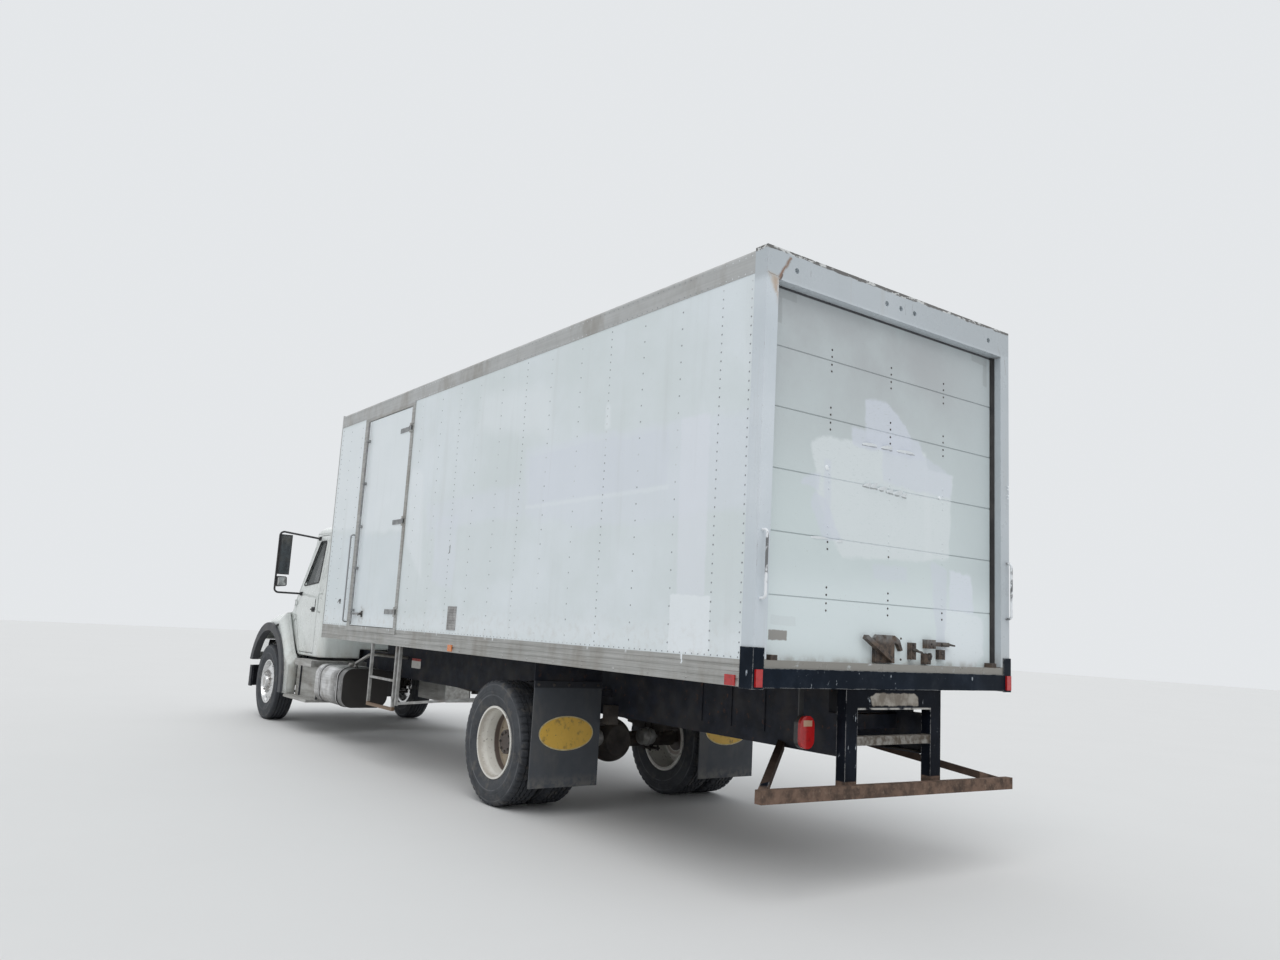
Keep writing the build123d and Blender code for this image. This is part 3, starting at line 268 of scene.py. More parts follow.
@finish(0.38, coat=0.15)
def wall_paint(f):
    """The riveted white sides: old paint, patches of newer paint by roller, and grime from below."""
    place, sharp = f.wavy(0.16, 2.5), f.wavy(0.035, 18)
    f.start((0.7, 5, 0.35, 0.7), OLD_WHITE, WHITE)
    for amount, tone, soft, corners in (
        (0.5, COOL_WHITE, 0.05, [(0, 2300), (0, 2911), (1640, 2987), (2900, 3003), (2870, 2420), (1789, 2264)]),
        (0.3, (0.70, 0.735, 0.815), 0.02, [(925, 2530), (925, 2900), (2822, 2934), (2804, 2519)]),
        (0.35, FRESH_WHITE, 0.012, [(900, 2488), (900, 2520), (2850, 2508), (2850, 2478)]),
        (0.45, COOL_WHITE, 0.05, [(2900, 2402), (2900, 2700), (4844, 2662), (4790, 2402)]),
        (0.5, OLD_WHITE, 0.06, [(2900, 1900), (2900, 2400), (4400, 2390), (4400, 1850)]),
        (0.55, FRESH_WHITE, 0.05, [(4860, 1900), (5003, 3000), (5330, 3100), (5330, 2300)]),
        (0.5, COOL_WHITE, 0.04, [(4125, 1800), (4125, 2500), (4600, 2500), (4600, 1900)]),
        (0.6, (0.79, 0.82, 0.875), 0.015, [(475, 1765), (493, 2960), (794, 2960), (758, 1764)]),
        (0.9, FRESH_WHITE, 0.008, [(415, 1400), (415, 1765), (824, 1779), (822, 1400)]),
        (0.5, FRESH_WHITE, 0.10, [(2526, 3084), (2526, 3500), (3852, 3650), (3852, 3300)]),
        (0.6, FRESH_WHITE, 0.02, [(1660, 3000), (1660, 3200), (1720, 3210), (1715, 3000)]),
        (0.6, FRESH_WHITE, 0.04, [(5380, 2420), (5380, 3780), (7650, 3780), (7650, 2520)]),
        (0.5, (0.71, 0.775, 0.81), 0.05, [(5440, 1420), (5440, 2400), (7640, 2440), (7640, 1420)]),
        (0.45, FRESH_WHITE, 0.10, [(0, 1400), (0, 1560), (7640, 1540), (7640, 1400)]),
    ):
        f.over(tone, f.patch(sharp if soft < 0.02 else place, 1, corners, soft), amount)
    f.over((0.55, 0.58, 0.57), (9, 5, 0.52, 0.8, (1, 1, 0.06)), 0.22)
    f.over((0.55, 0.53, 0.49), f.rise(f.z, 1.75, 1.40), (14, 6, 0.45, 0.75), 0.35)
    f.over(GRIME, (70, 3, 0.69, 0.76), 0.25)
    torn = f.patch(f.wavy(0.02, 30), 1, [(7088, 1640), (7088, 1697), (7136, 1690), (7130, 1643)], 0.004)
    f.over((0.09, 0.085, 0.08), torn, f.rise(f.y, 1.0, 1.1))
    grip = f.patch(f.wavy(0.05, 14), 1, [(6290, 1440), (6290, 1600), (6420, 1640), (6440, 1440)], 0.03)
    f.over((0.36, 0.34, 0.31), grip, (20, 6, 0.35, 0.65), 0.6)
    mark = f.patch(f.wavy(0.02, 24), 1, [(4240, 2150), (4236, 2230), (4252, 2232), (4262, 2155)], 0.004)
    f.over((0.16, 0.165, 0.17), mark, 0.85)
    f.vary((3, 4, 0.3, 0.7), 0.28, 0.5)
    f.height(f.noise(1.6, 2, stretch=(1, 1, 0.5)), 0.02, 0.35)
    f.bumps((180, 3, 0.0006, 0.5))


@finish(0.42, coat=0.1)
def door_paint(f):
    """The rear door: old greenish white, a big ragged patch of newer paint, and marks of tape and a plate."""
    place, sharp = f.wavy(0.10, 6), f.wavy(0.02, 20)
    # Painted shade from the header: the door's colour darkens towards its top.
    f.start(f.rise(f.z, 3.6, 2.2), (0.45, 0.475, 0.485), (0.64, 0.715, 0.715))
    f.over((0.585, 0.655, 0.66), (1.2, 5, 0.4, 0.7), 0.5)
    f.over((0.53, 0.59, 0.60), f.rise(f.y, -0.35, -1.1), 0.6)
    # Painted light: the lower panels lighter, where the header's painted shade gives out.
    f.over((0.735, 0.81, 0.82), f.rise(f.z, 2.1, 1.75), 0.8)
    main, cool = (0.73, 0.78, 0.79), (0.66, 0.70, 0.77)
    broken = f.noise(26, 4, 0.20, 0.45, (1, 1, 3))
    newer = 0.0
    for amount, tone, corners in (
        (0.85, main, [(776, 2781), (700, 2850), (-404, 2900), (-470, 2131), (470, 2065), (700, 2400)]),
        (0.85, main, [(-380, 2795), (-697, 2771), (-661, 2163), (-380, 2131)]),
        (0.8, cool, [(258, 3164), (16, 3202), (-82, 3123), (-231, 2993), (-231, 2840), (258, 2840)]),
        (0.8, cool, [(400, 2960), (390, 2840), (-380, 2840), (-330, 2975)]),
        (0.7, cool, [(855, 2524), (841, 2572), (690, 2600), (690, 2490)]),
        (0.7, cool, [(730, 2483), (640, 2440), (476, 2183), (640, 2170), (770, 2380)]),
        (0.6, cool, [(80, 2850), (-404, 2880), (-690, 2765), (-690, 2600), (60, 2620)]),
        (0.6, cool, [(650, 2700), (590, 2700), (590, 2250), (650, 2250)]),
        (0.85, (0.73, 0.775, 0.835), [(-672, 2080), (-930, 2070), (-965, 1775), (-672, 1775)]),
        (0.9, (0.79, 0.845, 0.87), [(-612, 1790), (-1075, 1772), (-1095, 1480), (-900, 1385), (-625, 1430)]),
        (0.6, cool, [(-456, 2120), (-640, 2080), (-640, 1440), (-560, 1440)]),
        (0.5, cool, [(160, 2060), (160, 1960), (-200, 1960), (-200, 2060)]),
    ):
        mask = f.times(f.patch(place, 0, corners, 0.016), broken, amount)
        f.over(tone, mask)
        newer = f.most(newer, mask)
    tape = (0.33, 0.35, 0.35)
    for amount, tone, corners in (
        (0.85, (0.23, 0.205, 0.18), [(1106, 1516), (1106, 1580), (947, 1576), (947, 1516)]),
        (0.45, tape, [(1125, 3700), (1125, 3762), (950, 3750), (950, 3690)]),
        (0.45, tape, [(1125, 3525), (1125, 3700), (1080, 3700), (1080, 3525)]),
        (0.45, tape, [(-931, 3700), (-931, 3750), (-1125, 3750), (-1125, 3690)]),
        (0.45, tape, [(-1075, 3530), (-1075, 3700), (-1125, 3700), (-1125, 3530)]),
        (0.45, (0.62, 0.67, 0.68), [(1090, 1612), (1090, 1670), (875, 1664), (875, 1608)]),
    ):
        f.over(tone, f.patch(sharp, 0, corners, 0.004), amount)
    # Dark gashes under the curls of torn paint: painted shadow of the curls, and partly the darker underside that the
    # torn paint lays bare.
    for corners in (
        [(280, 2566), (280, 2577), (60, 2567), (60, 2557)], [(40, 2554), (40, 2565), (-180, 2552), (-180, 2541)],
        [(290, 2852), (290, 2860), (140, 2862), (140, 2855)], [(95, 2855), (95, 2864), (-25, 2863), (-25, 2854)],
        [(-70, 2860), (-70, 2866), (-265, 2866), (-265, 2860)],
    ):
        f.over((0.22, 0.225, 0.23), f.patch(sharp, 0, corners, 0.004), (28, 4, 0.32, 0.5), 0.75)
    f.over((0.36, 0.34, 0.30), f.rise(f.z, 1.45, 1.39), (9, 5, 0.40, 0.65), 0.6)
    seams = f.most(*(f.between(f.z, z / 1000 - 0.004, z / 1000 + 0.002, 0.003) for z in DOOR_SEAMS))
    f.over((0.20, 0.21, 0.21), seams, f.maths("SUBTRACT", 1.0, newer), 0.4)
    f.over((0.84, 0.87, 0.89), seams, newer, 0.5)
    f.over(GRIME, (60, 3, 0.68, 0.76), 0.3)
    # Painted shadow: a dark strip along the door's top edge, in the gap below the header.
    f.over((0.05, 0.05, 0.055), f.rise(f.z, 3.750, 3.756))
    f.vary((4, 4, 0.3, 0.7), 0.34, 0.55)
    f.bumps((2.2, 2, 0.012, 0.35), (150, 3, 0.0006, 0.5))


@finish(0.35, coat=0.2)
def rear_frame_paint(f):
    """Sprayed white on the rear posts and header: chipped edges, and a rusty weld with its run-down at the top."""
    f.start((1.1, 5, 0.35, 0.7), (0.59, 0.645, 0.685), (0.68, 0.73, 0.77))
    right = f.rise(f.y, 0.2, -1.2)
    header = f.times(f.rise(f.z, 3.74, 3.80), f.blend(right, 0.57, 0.8))
    f.over((0.40, 0.435, 0.455), f.most(f.times(right, 0.6), header))
    f.over((0.45, 0.44, 0.41), (16, 5, 0.55, 0.8, (1, 1, 0.05)), 0.3)
    f.over((0.40, 0.36, 0.31), f.rise(f.z, 1.6, 1.3), (12, 6, 0.4, 0.7), 0.5)
    f.over((0.18, 0.13, 0.10), f.edges(0.006), (22, 5, 0.56, 0.66), 0.6)
    f.over((0.32, 0.24, 0.19), (45, 5, 0.70, 0.77), 0.4)
    ragged, broken = f.wavy(0.03, 22), f.noise(40, 5, 0.25, 0.5)
    scratch, scrape = (0.26, 0.24, 0.22), (0.20, 0.19, 0.18)
    for amount, tone, soft, corners in (
        (0.5, (0.52, 0.38, 0.24), 0.02, [(1194, 3660), (1194, 3790), (1282, 3796), (1236, 3690)]),
        (0.9, (0.22, 0.10, 0.045), 0.009, [(1184, 3776), (1205, 3780), (1150, 3868), (1132, 3856)]),
        (0.85, (0.22, 0.11, 0.05), 0.009, [(1152, 3866), (1134, 3854), (1078, 3936), (1092, 3948)]),
        (0.6, (0.25, 0.17, 0.11), 0.003, [(1190, 3783), (1190, 3791), (1286, 3799), (1286, 3792)]),
        (0.9, DARK_RUST, 0.005, [(1174, 3772), (1196, 3770), (1164, 3812), (1154, 3808)]),
        (0.45, (0.42, 0.26, 0.14), 0.02, [(1192, 3600), (1192, 3775), (1240, 3775), (1215, 3660)]),
        (0.5, scratch, 0.003, [(-1195, 3760), (-1188, 3760), (-1150, 3850), (-1158, 3852)]),
        (0.5, scratch, 0.003, [(-1262, 3640), (-1256, 3640), (-1240, 3760), (-1247, 3760)]),
        (0.4, scrape, 0.004, [(905, 3860), (911, 3860), (912, 3905), (906, 3905)]),
        (0.4, scrape, 0.004, [(-50, 3830), (-44, 3830), (-41, 3915), (-47, 3915)]),
        (0.4, scrape, 0.004, [(-128, 3840), (-122, 3840), (-120, 3930), (-126, 3930)]),
    ):
        f.over(tone, f.patch(ragged, 0, corners, soft), broken, amount)
    # The roof cap along the header's top: dark, with ragged pale bits that are painted highlights.
    ragged_z = f.maths("ADD", f.z, f.times(f.noise(18, 6, stretch=(1, 0.4, 1)), 0.05))
    painted_cap_highlights = f.noise(40, 6, 0.52, 0.58, (1, 0.35, 1), (2, 5, 1))
    f.over(f.mix(painted_cap_highlights, (0.13, 0.125, 0.12), (0.62, 0.63, 0.62)), f.rise(ragged_z, 3.978, 3.986))
    sill = f.noise(25, 6, 0.20, 0.40, (1, 0.5, 1))
    f.over((0.225, 0.212, 0.185), f.rise(f.z, 1.408, 1.398), sill, 0.95)
    f.vary((5, 4, 0.35, 0.7), 0.26, 0.45)
    f.bumps((2.0, 2, 0.006, 0.3), (140, 3, 0.0005, 0.5))


@finish(0.4)
def fresh_paint(f):
    """Newer white of the dabs, and of the paint that curls off the roll door."""
    f.start((40, 4), (0.78, 0.82, 0.84), (0.90, 0.93, 0.95))
    f.bumps((90, 4, 0.0006, 0.5))


def cab_paint(name, round_edges):
    """Warm white cab paint, shaded with rounded edges, with road film along the bottom and dust on top."""
    f = Finish(name, 0.3, coat=0.35)
    f.soften(round_edges)
    f.start((1.4, 5, 0.35, 0.7), (0.71, 0.74, 0.715), (0.79, 0.825, 0.80))
    f.over((0.42, 0.38, 0.31), f.rise(f.z, 1.35, 0.75), (7, 6, 0.3, 0.7, (1, 1, 0.5)), 0.55)
    streaks = f.noise(24, 4, 0.58, 0.8, (1, 1, 0.05))
    f.over((0.50, 0.48, 0.42), streaks, f.rise(f.upward(), 0.5, 0.2), 0.25)
    f.over((0.55, 0.53, 0.48), f.rise(f.upward(), 0.5, 0.95), (3, 6, 0.4, 0.7), 0.25)
    f.over((0.25, 0.22, 0.18), (90, 3, 0.71, 0.77), 0.35)
    f.vary((6, 4, 0.35, 0.7), 0.2, 0.38)
    f.bumps((130, 2, 0.0004, 0.4))


@finish(0.45, 0.55)
def rail_metal(f):
    """Weathered extruded aluminium: drawn lines along the truck, stains, and drips of white paint."""
    lines = f.noise(60, 4, stretch=(0.02, 1, 1))
    f.start(f.rise(lines, 0.3, 0.7), (0.34, 0.34, 0.325), (0.47, 0.47, 0.455))
    f.over((0.52, 0.53, 0.53), f.between(f.z, 3.80, 3.965, 0.01), 0.6)
    f.over((0.27, 0.245, 0.21), (5, 6, 0.45, 0.72, (1, 1, 0.35)), 0.55)
    white = f.noise(11, 6, 0.60, 0.68, (1, 1, 0.2), (3, 0, 0))
    white = f.times(white, f.between(f.z, 1.372, 1.42, 0.006))
    f.over(FRESH_WHITE, white, 0.8)
    drip = f.patch(f.wavy(0.008, 40), 1, [(668, 1335), (664, 1400), (684, 1400), (678, 1335)], 0.002)
    f.over(FRESH_WHITE, drip)
    f.vary(f.most(drip, white), 0.55, 0.0, "Metallic")
    f.vary((8, 5, 0.3, 0.7), 0.36, 0.6)
    f.height(lines, 0.0006, 0.6)


def dull_metal(name, base, dark, rough=0.5, metal=0.7, grain=(1, 1, 1)):
    f = Finish(name, rough, metal)
    f.start((18, 5, 0.3, 0.7, grain), dark, base)
    f.over(DUST, (4, 6, 0.5, 0.75), 0.5)
    f.vary((30, 4), rough - 0.12, rough + 0.15)
    f.height(f.noise(90, 4, stretch=grain), 0.0005, 0.6)


def worn_black(name, base, wear, dust):
    """Black paint: scratched through at the edges, scuffed and dusty."""
    f = Finish(name, 0.4, specular=0.08)
    f.start((3, 5, 0.35, 0.7), base, scaled(base, 2.0))
    f.over((0.15, 0.14, 0.13), (6, 6, 0.42, 0.75), dust)
    f.over((0.50, 0.55, 0.60), (28, 6, 0.665, 0.70, (1, 1, 0.45)), 0.7)
    f.over((0.42, 0.43, 0.43), f.edges(0.008), (12, 6, 0.40, 0.52), wear)
    f.vary((10, 5), 0.25, 0.6)
    f.bumps((55, 4, 0.0009, 0.7))


def chassis_black(name, base, dust):
    """Frame paint under road dust, which lies thicker on top, with spots of rust."""
    f = Finish(name, 0.6, specular=0.25)
    f.start((9, 5, 0.35, 0.7), base, scaled(base, 1.9))
    f.over((0.10, 0.088, 0.075), (5, 7, 0.42, 0.72), dust)
    f.over((0.20, 0.175, 0.145), f.rise(f.upward(), 0.3, 0.95), (14, 6, 0.25, 0.6), 0.8)
    f.over(DARK_RUST, (21, 6, 0.60, 0.70), 0.7)
    f.vary((20, 4), 0.45, 0.85)
    f.bumps((60, 5, 0.0014, 0.7))


@finish(0.55, specular=0.06)
def guard_metal(f):
    """The rear guard: black uprights, a grey worn step tube, dark struts and a rusty bent bar at the bottom."""
    f.start((3, 5, 0.35, 0.7), (0.002, 0.003, 0.006), (0.008, 0.011, 0.018))
    f.over((0.50, 0.54, 0.58), (30, 6, 0.655, 0.70, (1, 1, 0.3)), 0.75)
    f.over((0.38, 0.38, 0.38), f.edges(0.009), (14, 6, 0.42, 0.52), 0.85)
    bare = f.mix((20, 6, 0.35, 0.65), (0.09, 0.075, 0.06), (0.25, 0.24, 0.22))
    f.over(bare, f.between(f.z, 0.877, 0.936, 0.004), f.between(f.y, -0.372, 0.372, 0.004))
    lip = f.times(f.between(f.z, 1.098, 1.114, 0.004), f.between(f.y, -0.37, 0.37, 0.004))
    f.over((0.46, 0.45, 0.42), lip, (9, 5, 0.35, 0.5), 0.9)
    corners = [(235, 1128), (250, 1185), (200, 1212), (-200, 1205), (-235, 1180), (-235, 1128)]
    worn = f.mix((14, 6, 0.35, 0.65), (0.20, 0.175, 0.145), (0.36, 0.335, 0.295))
    f.over(worn, f.patch(f.wavy(0.03, 16), 0, corners, 0.005), f.rise(f.x, -5.50, -5.53), 0.9)
    rust = f.mix((13, 7, 0.3, 0.7), (0.075, 0.056, 0.046), (0.195, 0.130, 0.098))
    rust = f.mix(f.times((40, 5, 0.55, 0.7), 0.5), rust, (0.25, 0.185, 0.14))
    low = f.rise(f.z, 0.665, 0.655)
    f.over(rust, low)
    struts = f.times(f.rise(f.z, 0.86, 0.85), f.rise(f.x, -5.458, -5.452))
    f.over(f.mix((17, 6), (0.016, 0.013, 0.012), (0.085, 0.058, 0.044)), struts, 0.9)
    f.vary(f.most(low, struts), f.blend((10, 4), 0.3, 0.6), 0.85)
    f.bumps((45, 5, 0.0018, 0.7))


@finish(0.45)
def hardware_finish(f):
    """White grab handles with worn-through grey runs, and the dark latch, locks and stops at the door's foot."""
    steel = f.mix((24, 6, 0.35, 0.65), (0.035, 0.027, 0.024), (0.12, 0.085, 0.062))
    steel = f.mix(f.times(f.edges(0.005), 0.5), steel, (0.26, 0.22, 0.18))
    steel = f.mix(f.times(f.rise(f.z, 1.52, 1.57), (16, 5, 0.35, 0.6)), steel, (0.17, 0.165, 0.16))
    latch = f.times(f.rise(f.z, 1.64, 1.62), f.rise(f.x, -5.3, -5.35))
    front = f.rise(f.x, 0.5, 0.6)
    f.start((14, 5, 0.50, 0.58, (1, 1, 0.6)), (0.80, 0.82, 0.84), (0.16, 0.165, 0.17))
    f.over(steel, latch)
    f.over(f.mix(f.noise(30, 4, stretch=(1, 1, 0.1)), (0.26, 0.27, 0.28), (0.40, 0.41, 0.42)), front)
    f.vary(latch, 0.35, 0.7)
    f.vary(front, 0.0, 0.7, "Metallic")
    f.bumps((60, 5, 0.0012, 0.7))


@finish(0.75)
def window_rubber(f):
    base = (0.012, 0.012, 0.013)
    f.start((12, 5), base, scaled(base, 1.7))
    f.over((0.15, 0.14, 0.13), (5, 6, 0.40, 0.70), 0.2)
    f.vary((25, 4), 0.6, 0.9)
    f.bumps((120, 4, 0.0006, 0.6))


@finish(0.6)
def flap_rubber(f):
    """Mud flaps: blue-black rubber, scuffed, with dried mud along the bottom and a darker plate at the top."""
    f.start((6, 5), (0.040, 0.046, 0.056), (0.074, 0.082, 0.094))
    f.over((0.14, 0.13, 0.115), (4, 7, 0.42, 0.75, (1, 1, 0.4)), 0.5)
    f.over((0.20, 0.19, 0.17), f.rise(f.z, 0.36, 0.24), (18, 5, 0.35, 0.6), 0.45)
    f.over((0.018, 0.02, 0.026), f.rise(f.z, 1.02, 1.03))
    f.vary((15, 4), 0.5, 0.8)
    f.bumps((3, 3, 0.01, 0.5), (100, 4, 0.0006, 0.6))


def tyre_rubber(name, axle, dusty):
    """Tyre rubber, greyer and dustier on the sidewall than in the tread, with scuffed and moulded rings."""
    f = Finish(name, 0.8)
    radius = f.from_axle(f.where, axle)
    f.start((10, 5), (0.018, 0.020, 0.025), (0.040, 0.044, 0.052))
    f.over((0.085, 0.092, 0.10), f.rise(radius, 0.515, 0.47), (7, 6, 0.25, 0.6), dusty)
    scuffs = f.most(f.between(radius, 0.389, 0.397, 0.004), f.between(radius, 0.476, 0.486, 0.005))
    f.over((0.155, 0.16, 0.17), scuffs, (6, 5, 0.3, 0.6), 0.75)
    f.over((0.15, 0.135, 0.115), (11, 7, 0.50, 0.72), dusty)
    f.vary((25, 4), 0.62, 0.92)
    f.height(f.times(f.sine(radius, 900.0), f.between(radius, 0.395, 0.405, 0.004)), 0.002, 0.4)
    f.bumps((130, 4, 0.0007, 0.6))


def round_wheel(name, axle, rough, metal, near, far, across_rows, ring_rows):
    """A wheel toned across the truck, and by the distance from its axis; a row is from, to, amount, tone."""
    f = Finish(name, rough, metal)
    f.start((9, 6), near, far)
    for value, soft, broken, rows in (
        (f.maths("ABSOLUTE", f.y), 0.007, (12, 6, 0.15, 0.4), across_rows),
        (f.from_axle(f.wavy(0.012, 30), axle), 0.006, (16, 6, 0.1, 0.35), ring_rows),
    ):
        for low, high, amount, tone in rows:
            f.over(tone, f.between(value, low, high, soft), broken, amount)
    f.over(DARK_RUST if metal < 0.5 else DUST, (34, 6, 0.60, 0.68), 0.6)
    f.vary((20, 5), rough - 0.1, rough + 0.2)
    f.bumps((70, 4, 0.0007, 0.6))


@finish(0.18, coat=0.6)
def lamp_amber(f):
    """A ribbed plastic lamp lens."""
    base = (0.62, 0.17, 0.02)
    f.start((9, 5), base, scaled(base, 1.5))
    f.over(scaled(base, 0.35), (22, 6, 0.5, 0.72), 0.35)
    for value in (f.z, f.y):
        f.height(f.sine(value, 900.0), 0.0012, 0.6)


@finish(0.2, coat=0.5)
def lamp_red(f):
    """Red lamps and reflectors on black housings; the upper part of each big lens carries a painted highlight, a pale
    patch.
    """
    f.start((10, 5), (0.34, 0.008, 0.010), (0.62, 0.02, 0.02))
    f.over((0.10, 0.006, 0.008), (24, 6, 0.5, 0.72), 0.5)
    # Painted highlight: a pale patch on the upper part of each big lens's rear face.
    place = f.wavy(0.012, 28)
    pale = f.most(*(f.patch(place, 0, [(s * 605, 985), (s * 605, 1022), (s * 682, 1022), (s * 682, 985)], 0.003)
                    for s in (1, -1)))
    f.over((0.55, 0.40, 0.27), pale, f.rise(f.x, -5.35, -5.36), 0.85)
    housing = f.times(f.rise(f.x, -5.348, -5.340), f.between(f.y, -0.8, 0.8, 0.01))
    f.over(f.mix((20, 5), (0.015, 0.016, 0.02), (0.05, 0.048, 0.045)), housing)
    f.vary(housing, 0.2, 0.65)
    f.height(f.sine(f.z, 900.0), 0.001, 0.5)


def clear_glass(name, tint, opacity):
    f = Finish(name, 0.06)
    f.start((4, 4), tint, scaled(tint, 1.25))
    film = f.noise(5, 6, 0.42, 0.75)
    f.vary(film, 0.04, 0.18)
    f.vary(film, opacity, opacity + 0.08, "Alpha")


def plastic(name, base, grain=160, rough=0.55):
    f = Finish(name, rough)
    f.start((8, 5), base, scaled(base, 1.5))
    f.over(DUST, (6, 6, 0.50, 0.75), 0.25)
    f.vary((18, 4), rough - 0.12, rough + 0.15)
    f.height(f.cells(grain), 0.0006, 0.6)


@finish(0.9, sheen=0.25)
def seat_cloth(f):
    """Woven seat cloth: two threads over and under, with some wear."""
    base = (0.045, 0.048, 0.055)
    weave = f.times(f.sine(f.y, 1600.0), f.sine(f.maths("ADD", f.x, f.z), 1600.0))
    f.start(f.rise(weave, -0.4, 0.6), base, (0.085, 0.088, 0.098))
    f.over(scaled(base, 1.6), (6, 5, 0.45, 0.7), 0.4)
    f.height(weave, 0.0008, 0.8)


@finish(0.6)
def deck_planks(f):
    """Planks along the load floor, with dark gaps."""
    grain = f.noise(26, 6, stretch=(0.06, 1, 1), distort=0.6)
    f.start(f.rise(grain, 0.3, 0.7), (0.15, 0.09, 0.045), (0.36, 0.25, 0.14))
    boards = f.maths("FRACT", f.times(f.y, 1 / 0.11))
    gap = f.most(f.rise(boards, 0.03, 0.0), f.rise(boards, 0.97, 1.0))
    f.over((0.03, 0.022, 0.015), gap, 0.8)
    f.over((0.12, 0.10, 0.08), (4, 6, 0.45, 0.7), 0.5)
    f.vary(grain, 0.45, 0.8)
    f.height(f.maths("SUBTRACT", grain, gap), 0.0015, 0.7)


@finish(0.3, 0.8)
def tank_metal(f):
    """Brushed aluminium fuel tank, stained in blotches and bright in front, with painted shade darkening it towards
    the rear and on its rear end, and its two black straps.
    """
    brushed = f.noise(50, 4, stretch=(0.05, 1, 1))
    f.start(f.rise(brushed, 0.3, 0.7), (0.52, 0.52, 0.52), (0.72, 0.72, 0.72))
    stain = f.times((6, 6, 0.40, 0.68), 0.6)
    f.over((0.22, 0.20, 0.175), stain)
    f.over((0.16, 0.14, 0.12), f.rise(f.z, 0.62, 0.44), (9, 6, 0.3, 0.6), 0.7)
    # Painted shade: the tank darker towards its rear, and dark on its rear end.
    rear = f.most(f.times(f.rise(f.x, 2.05, 1.80), (5, 6, 0.2, 0.5), 0.85), f.rise(f.x, 1.60, 1.59))
    f.over((0.045, 0.042, 0.040), rear)
    straps = f.most(f.between(f.x, 1.7425, 1.7925, 0.001), f.between(f.x, 2.3525, 2.4025, 0.001))
    f.over((0.02, 0.02, 0.023), straps)
    f.over((0.55, 0.55, 0.54), f.most(f.between(f.x, 1.758, 1.777, 0.001), f.between(f.x, 2.368, 2.387, 0.001)))
    f.vary(stain, 0.28, 0.6)
    f.vary(f.most(stain, rear, straps), 0.85, 0.2, "Metallic")
    f.height(brushed, 0.0004, 0.5)


@finish(0.5, 0.2)
def ladder_paint(f):
    """Pale grey side ladder, with a brown worn bottom rung."""
    f.start((14, 5, 0.3, 0.7), (0.24, 0.24, 0.23), (0.42, 0.42, 0.41))
    f.over((0.20, 0.175, 0.15), (6, 6, 0.5, 0.7), 0.6)
    wood = f.mix(f.noise(30, 5, stretch=(0.1, 1, 1)), (0.12, 0.075, 0.045), (0.27, 0.185, 0.12))
    f.over(wood, f.rise(f.z, 0.625, 0.615))
    f.bumps((60, 5, 0.001, 0.7))


@finish(0.5)
def blank_label(f):
    """A rail label with a red upper part, worn all over, and nothing written."""
    f.start(f.rise(f.z, 1.016, 1.020), (0.66, 0.65, 0.62), (0.42, 0.05, 0.045))
    f.over(GRIME, (24, 6, 0.48, 0.68), 0.45)
    f.bumps((70, 4, 0.0005, 0.5))


@finish(0.5, 0.35)
def bare_plate(f):
    """Dull metal with scratches and fine level ribs, and nothing written."""
    f.start((14, 6, 0.35, 0.65), (0.27, 0.265, 0.26), (0.42, 0.415, 0.41))
    f.over((0.12, 0.11, 0.10), (30, 6, 0.56, 0.66), 0.6)
    f.height(f.sine(f.z, 260.0), 0.002, 0.5)


@finish(0.5)
def rivet_metal(f):
    """Rivet heads: dark where old, white where newer paint went over them."""
    f.start((0.9, 4, 0.50, 0.62), (0.30, 0.32, 0.33), (0.66, 0.69, 0.70))
    f.over((0.14, 0.14, 0.14), (60, 4, 0.5, 0.65), 0.5)


@finish(0.45)
def sign_ochre(f):
    f.start((7, 5), (0.62, 0.37, 0.045), (0.74, 0.47, 0.08))
    f.over((0.16, 0.11, 0.05), (16, 6, 0.52, 0.68), 0.6)
    f.over((0.04, 0.045, 0.06), (45, 6, 0.62, 0.70), 0.7)
    f.bumps((60, 4, 0.0006, 0.5))


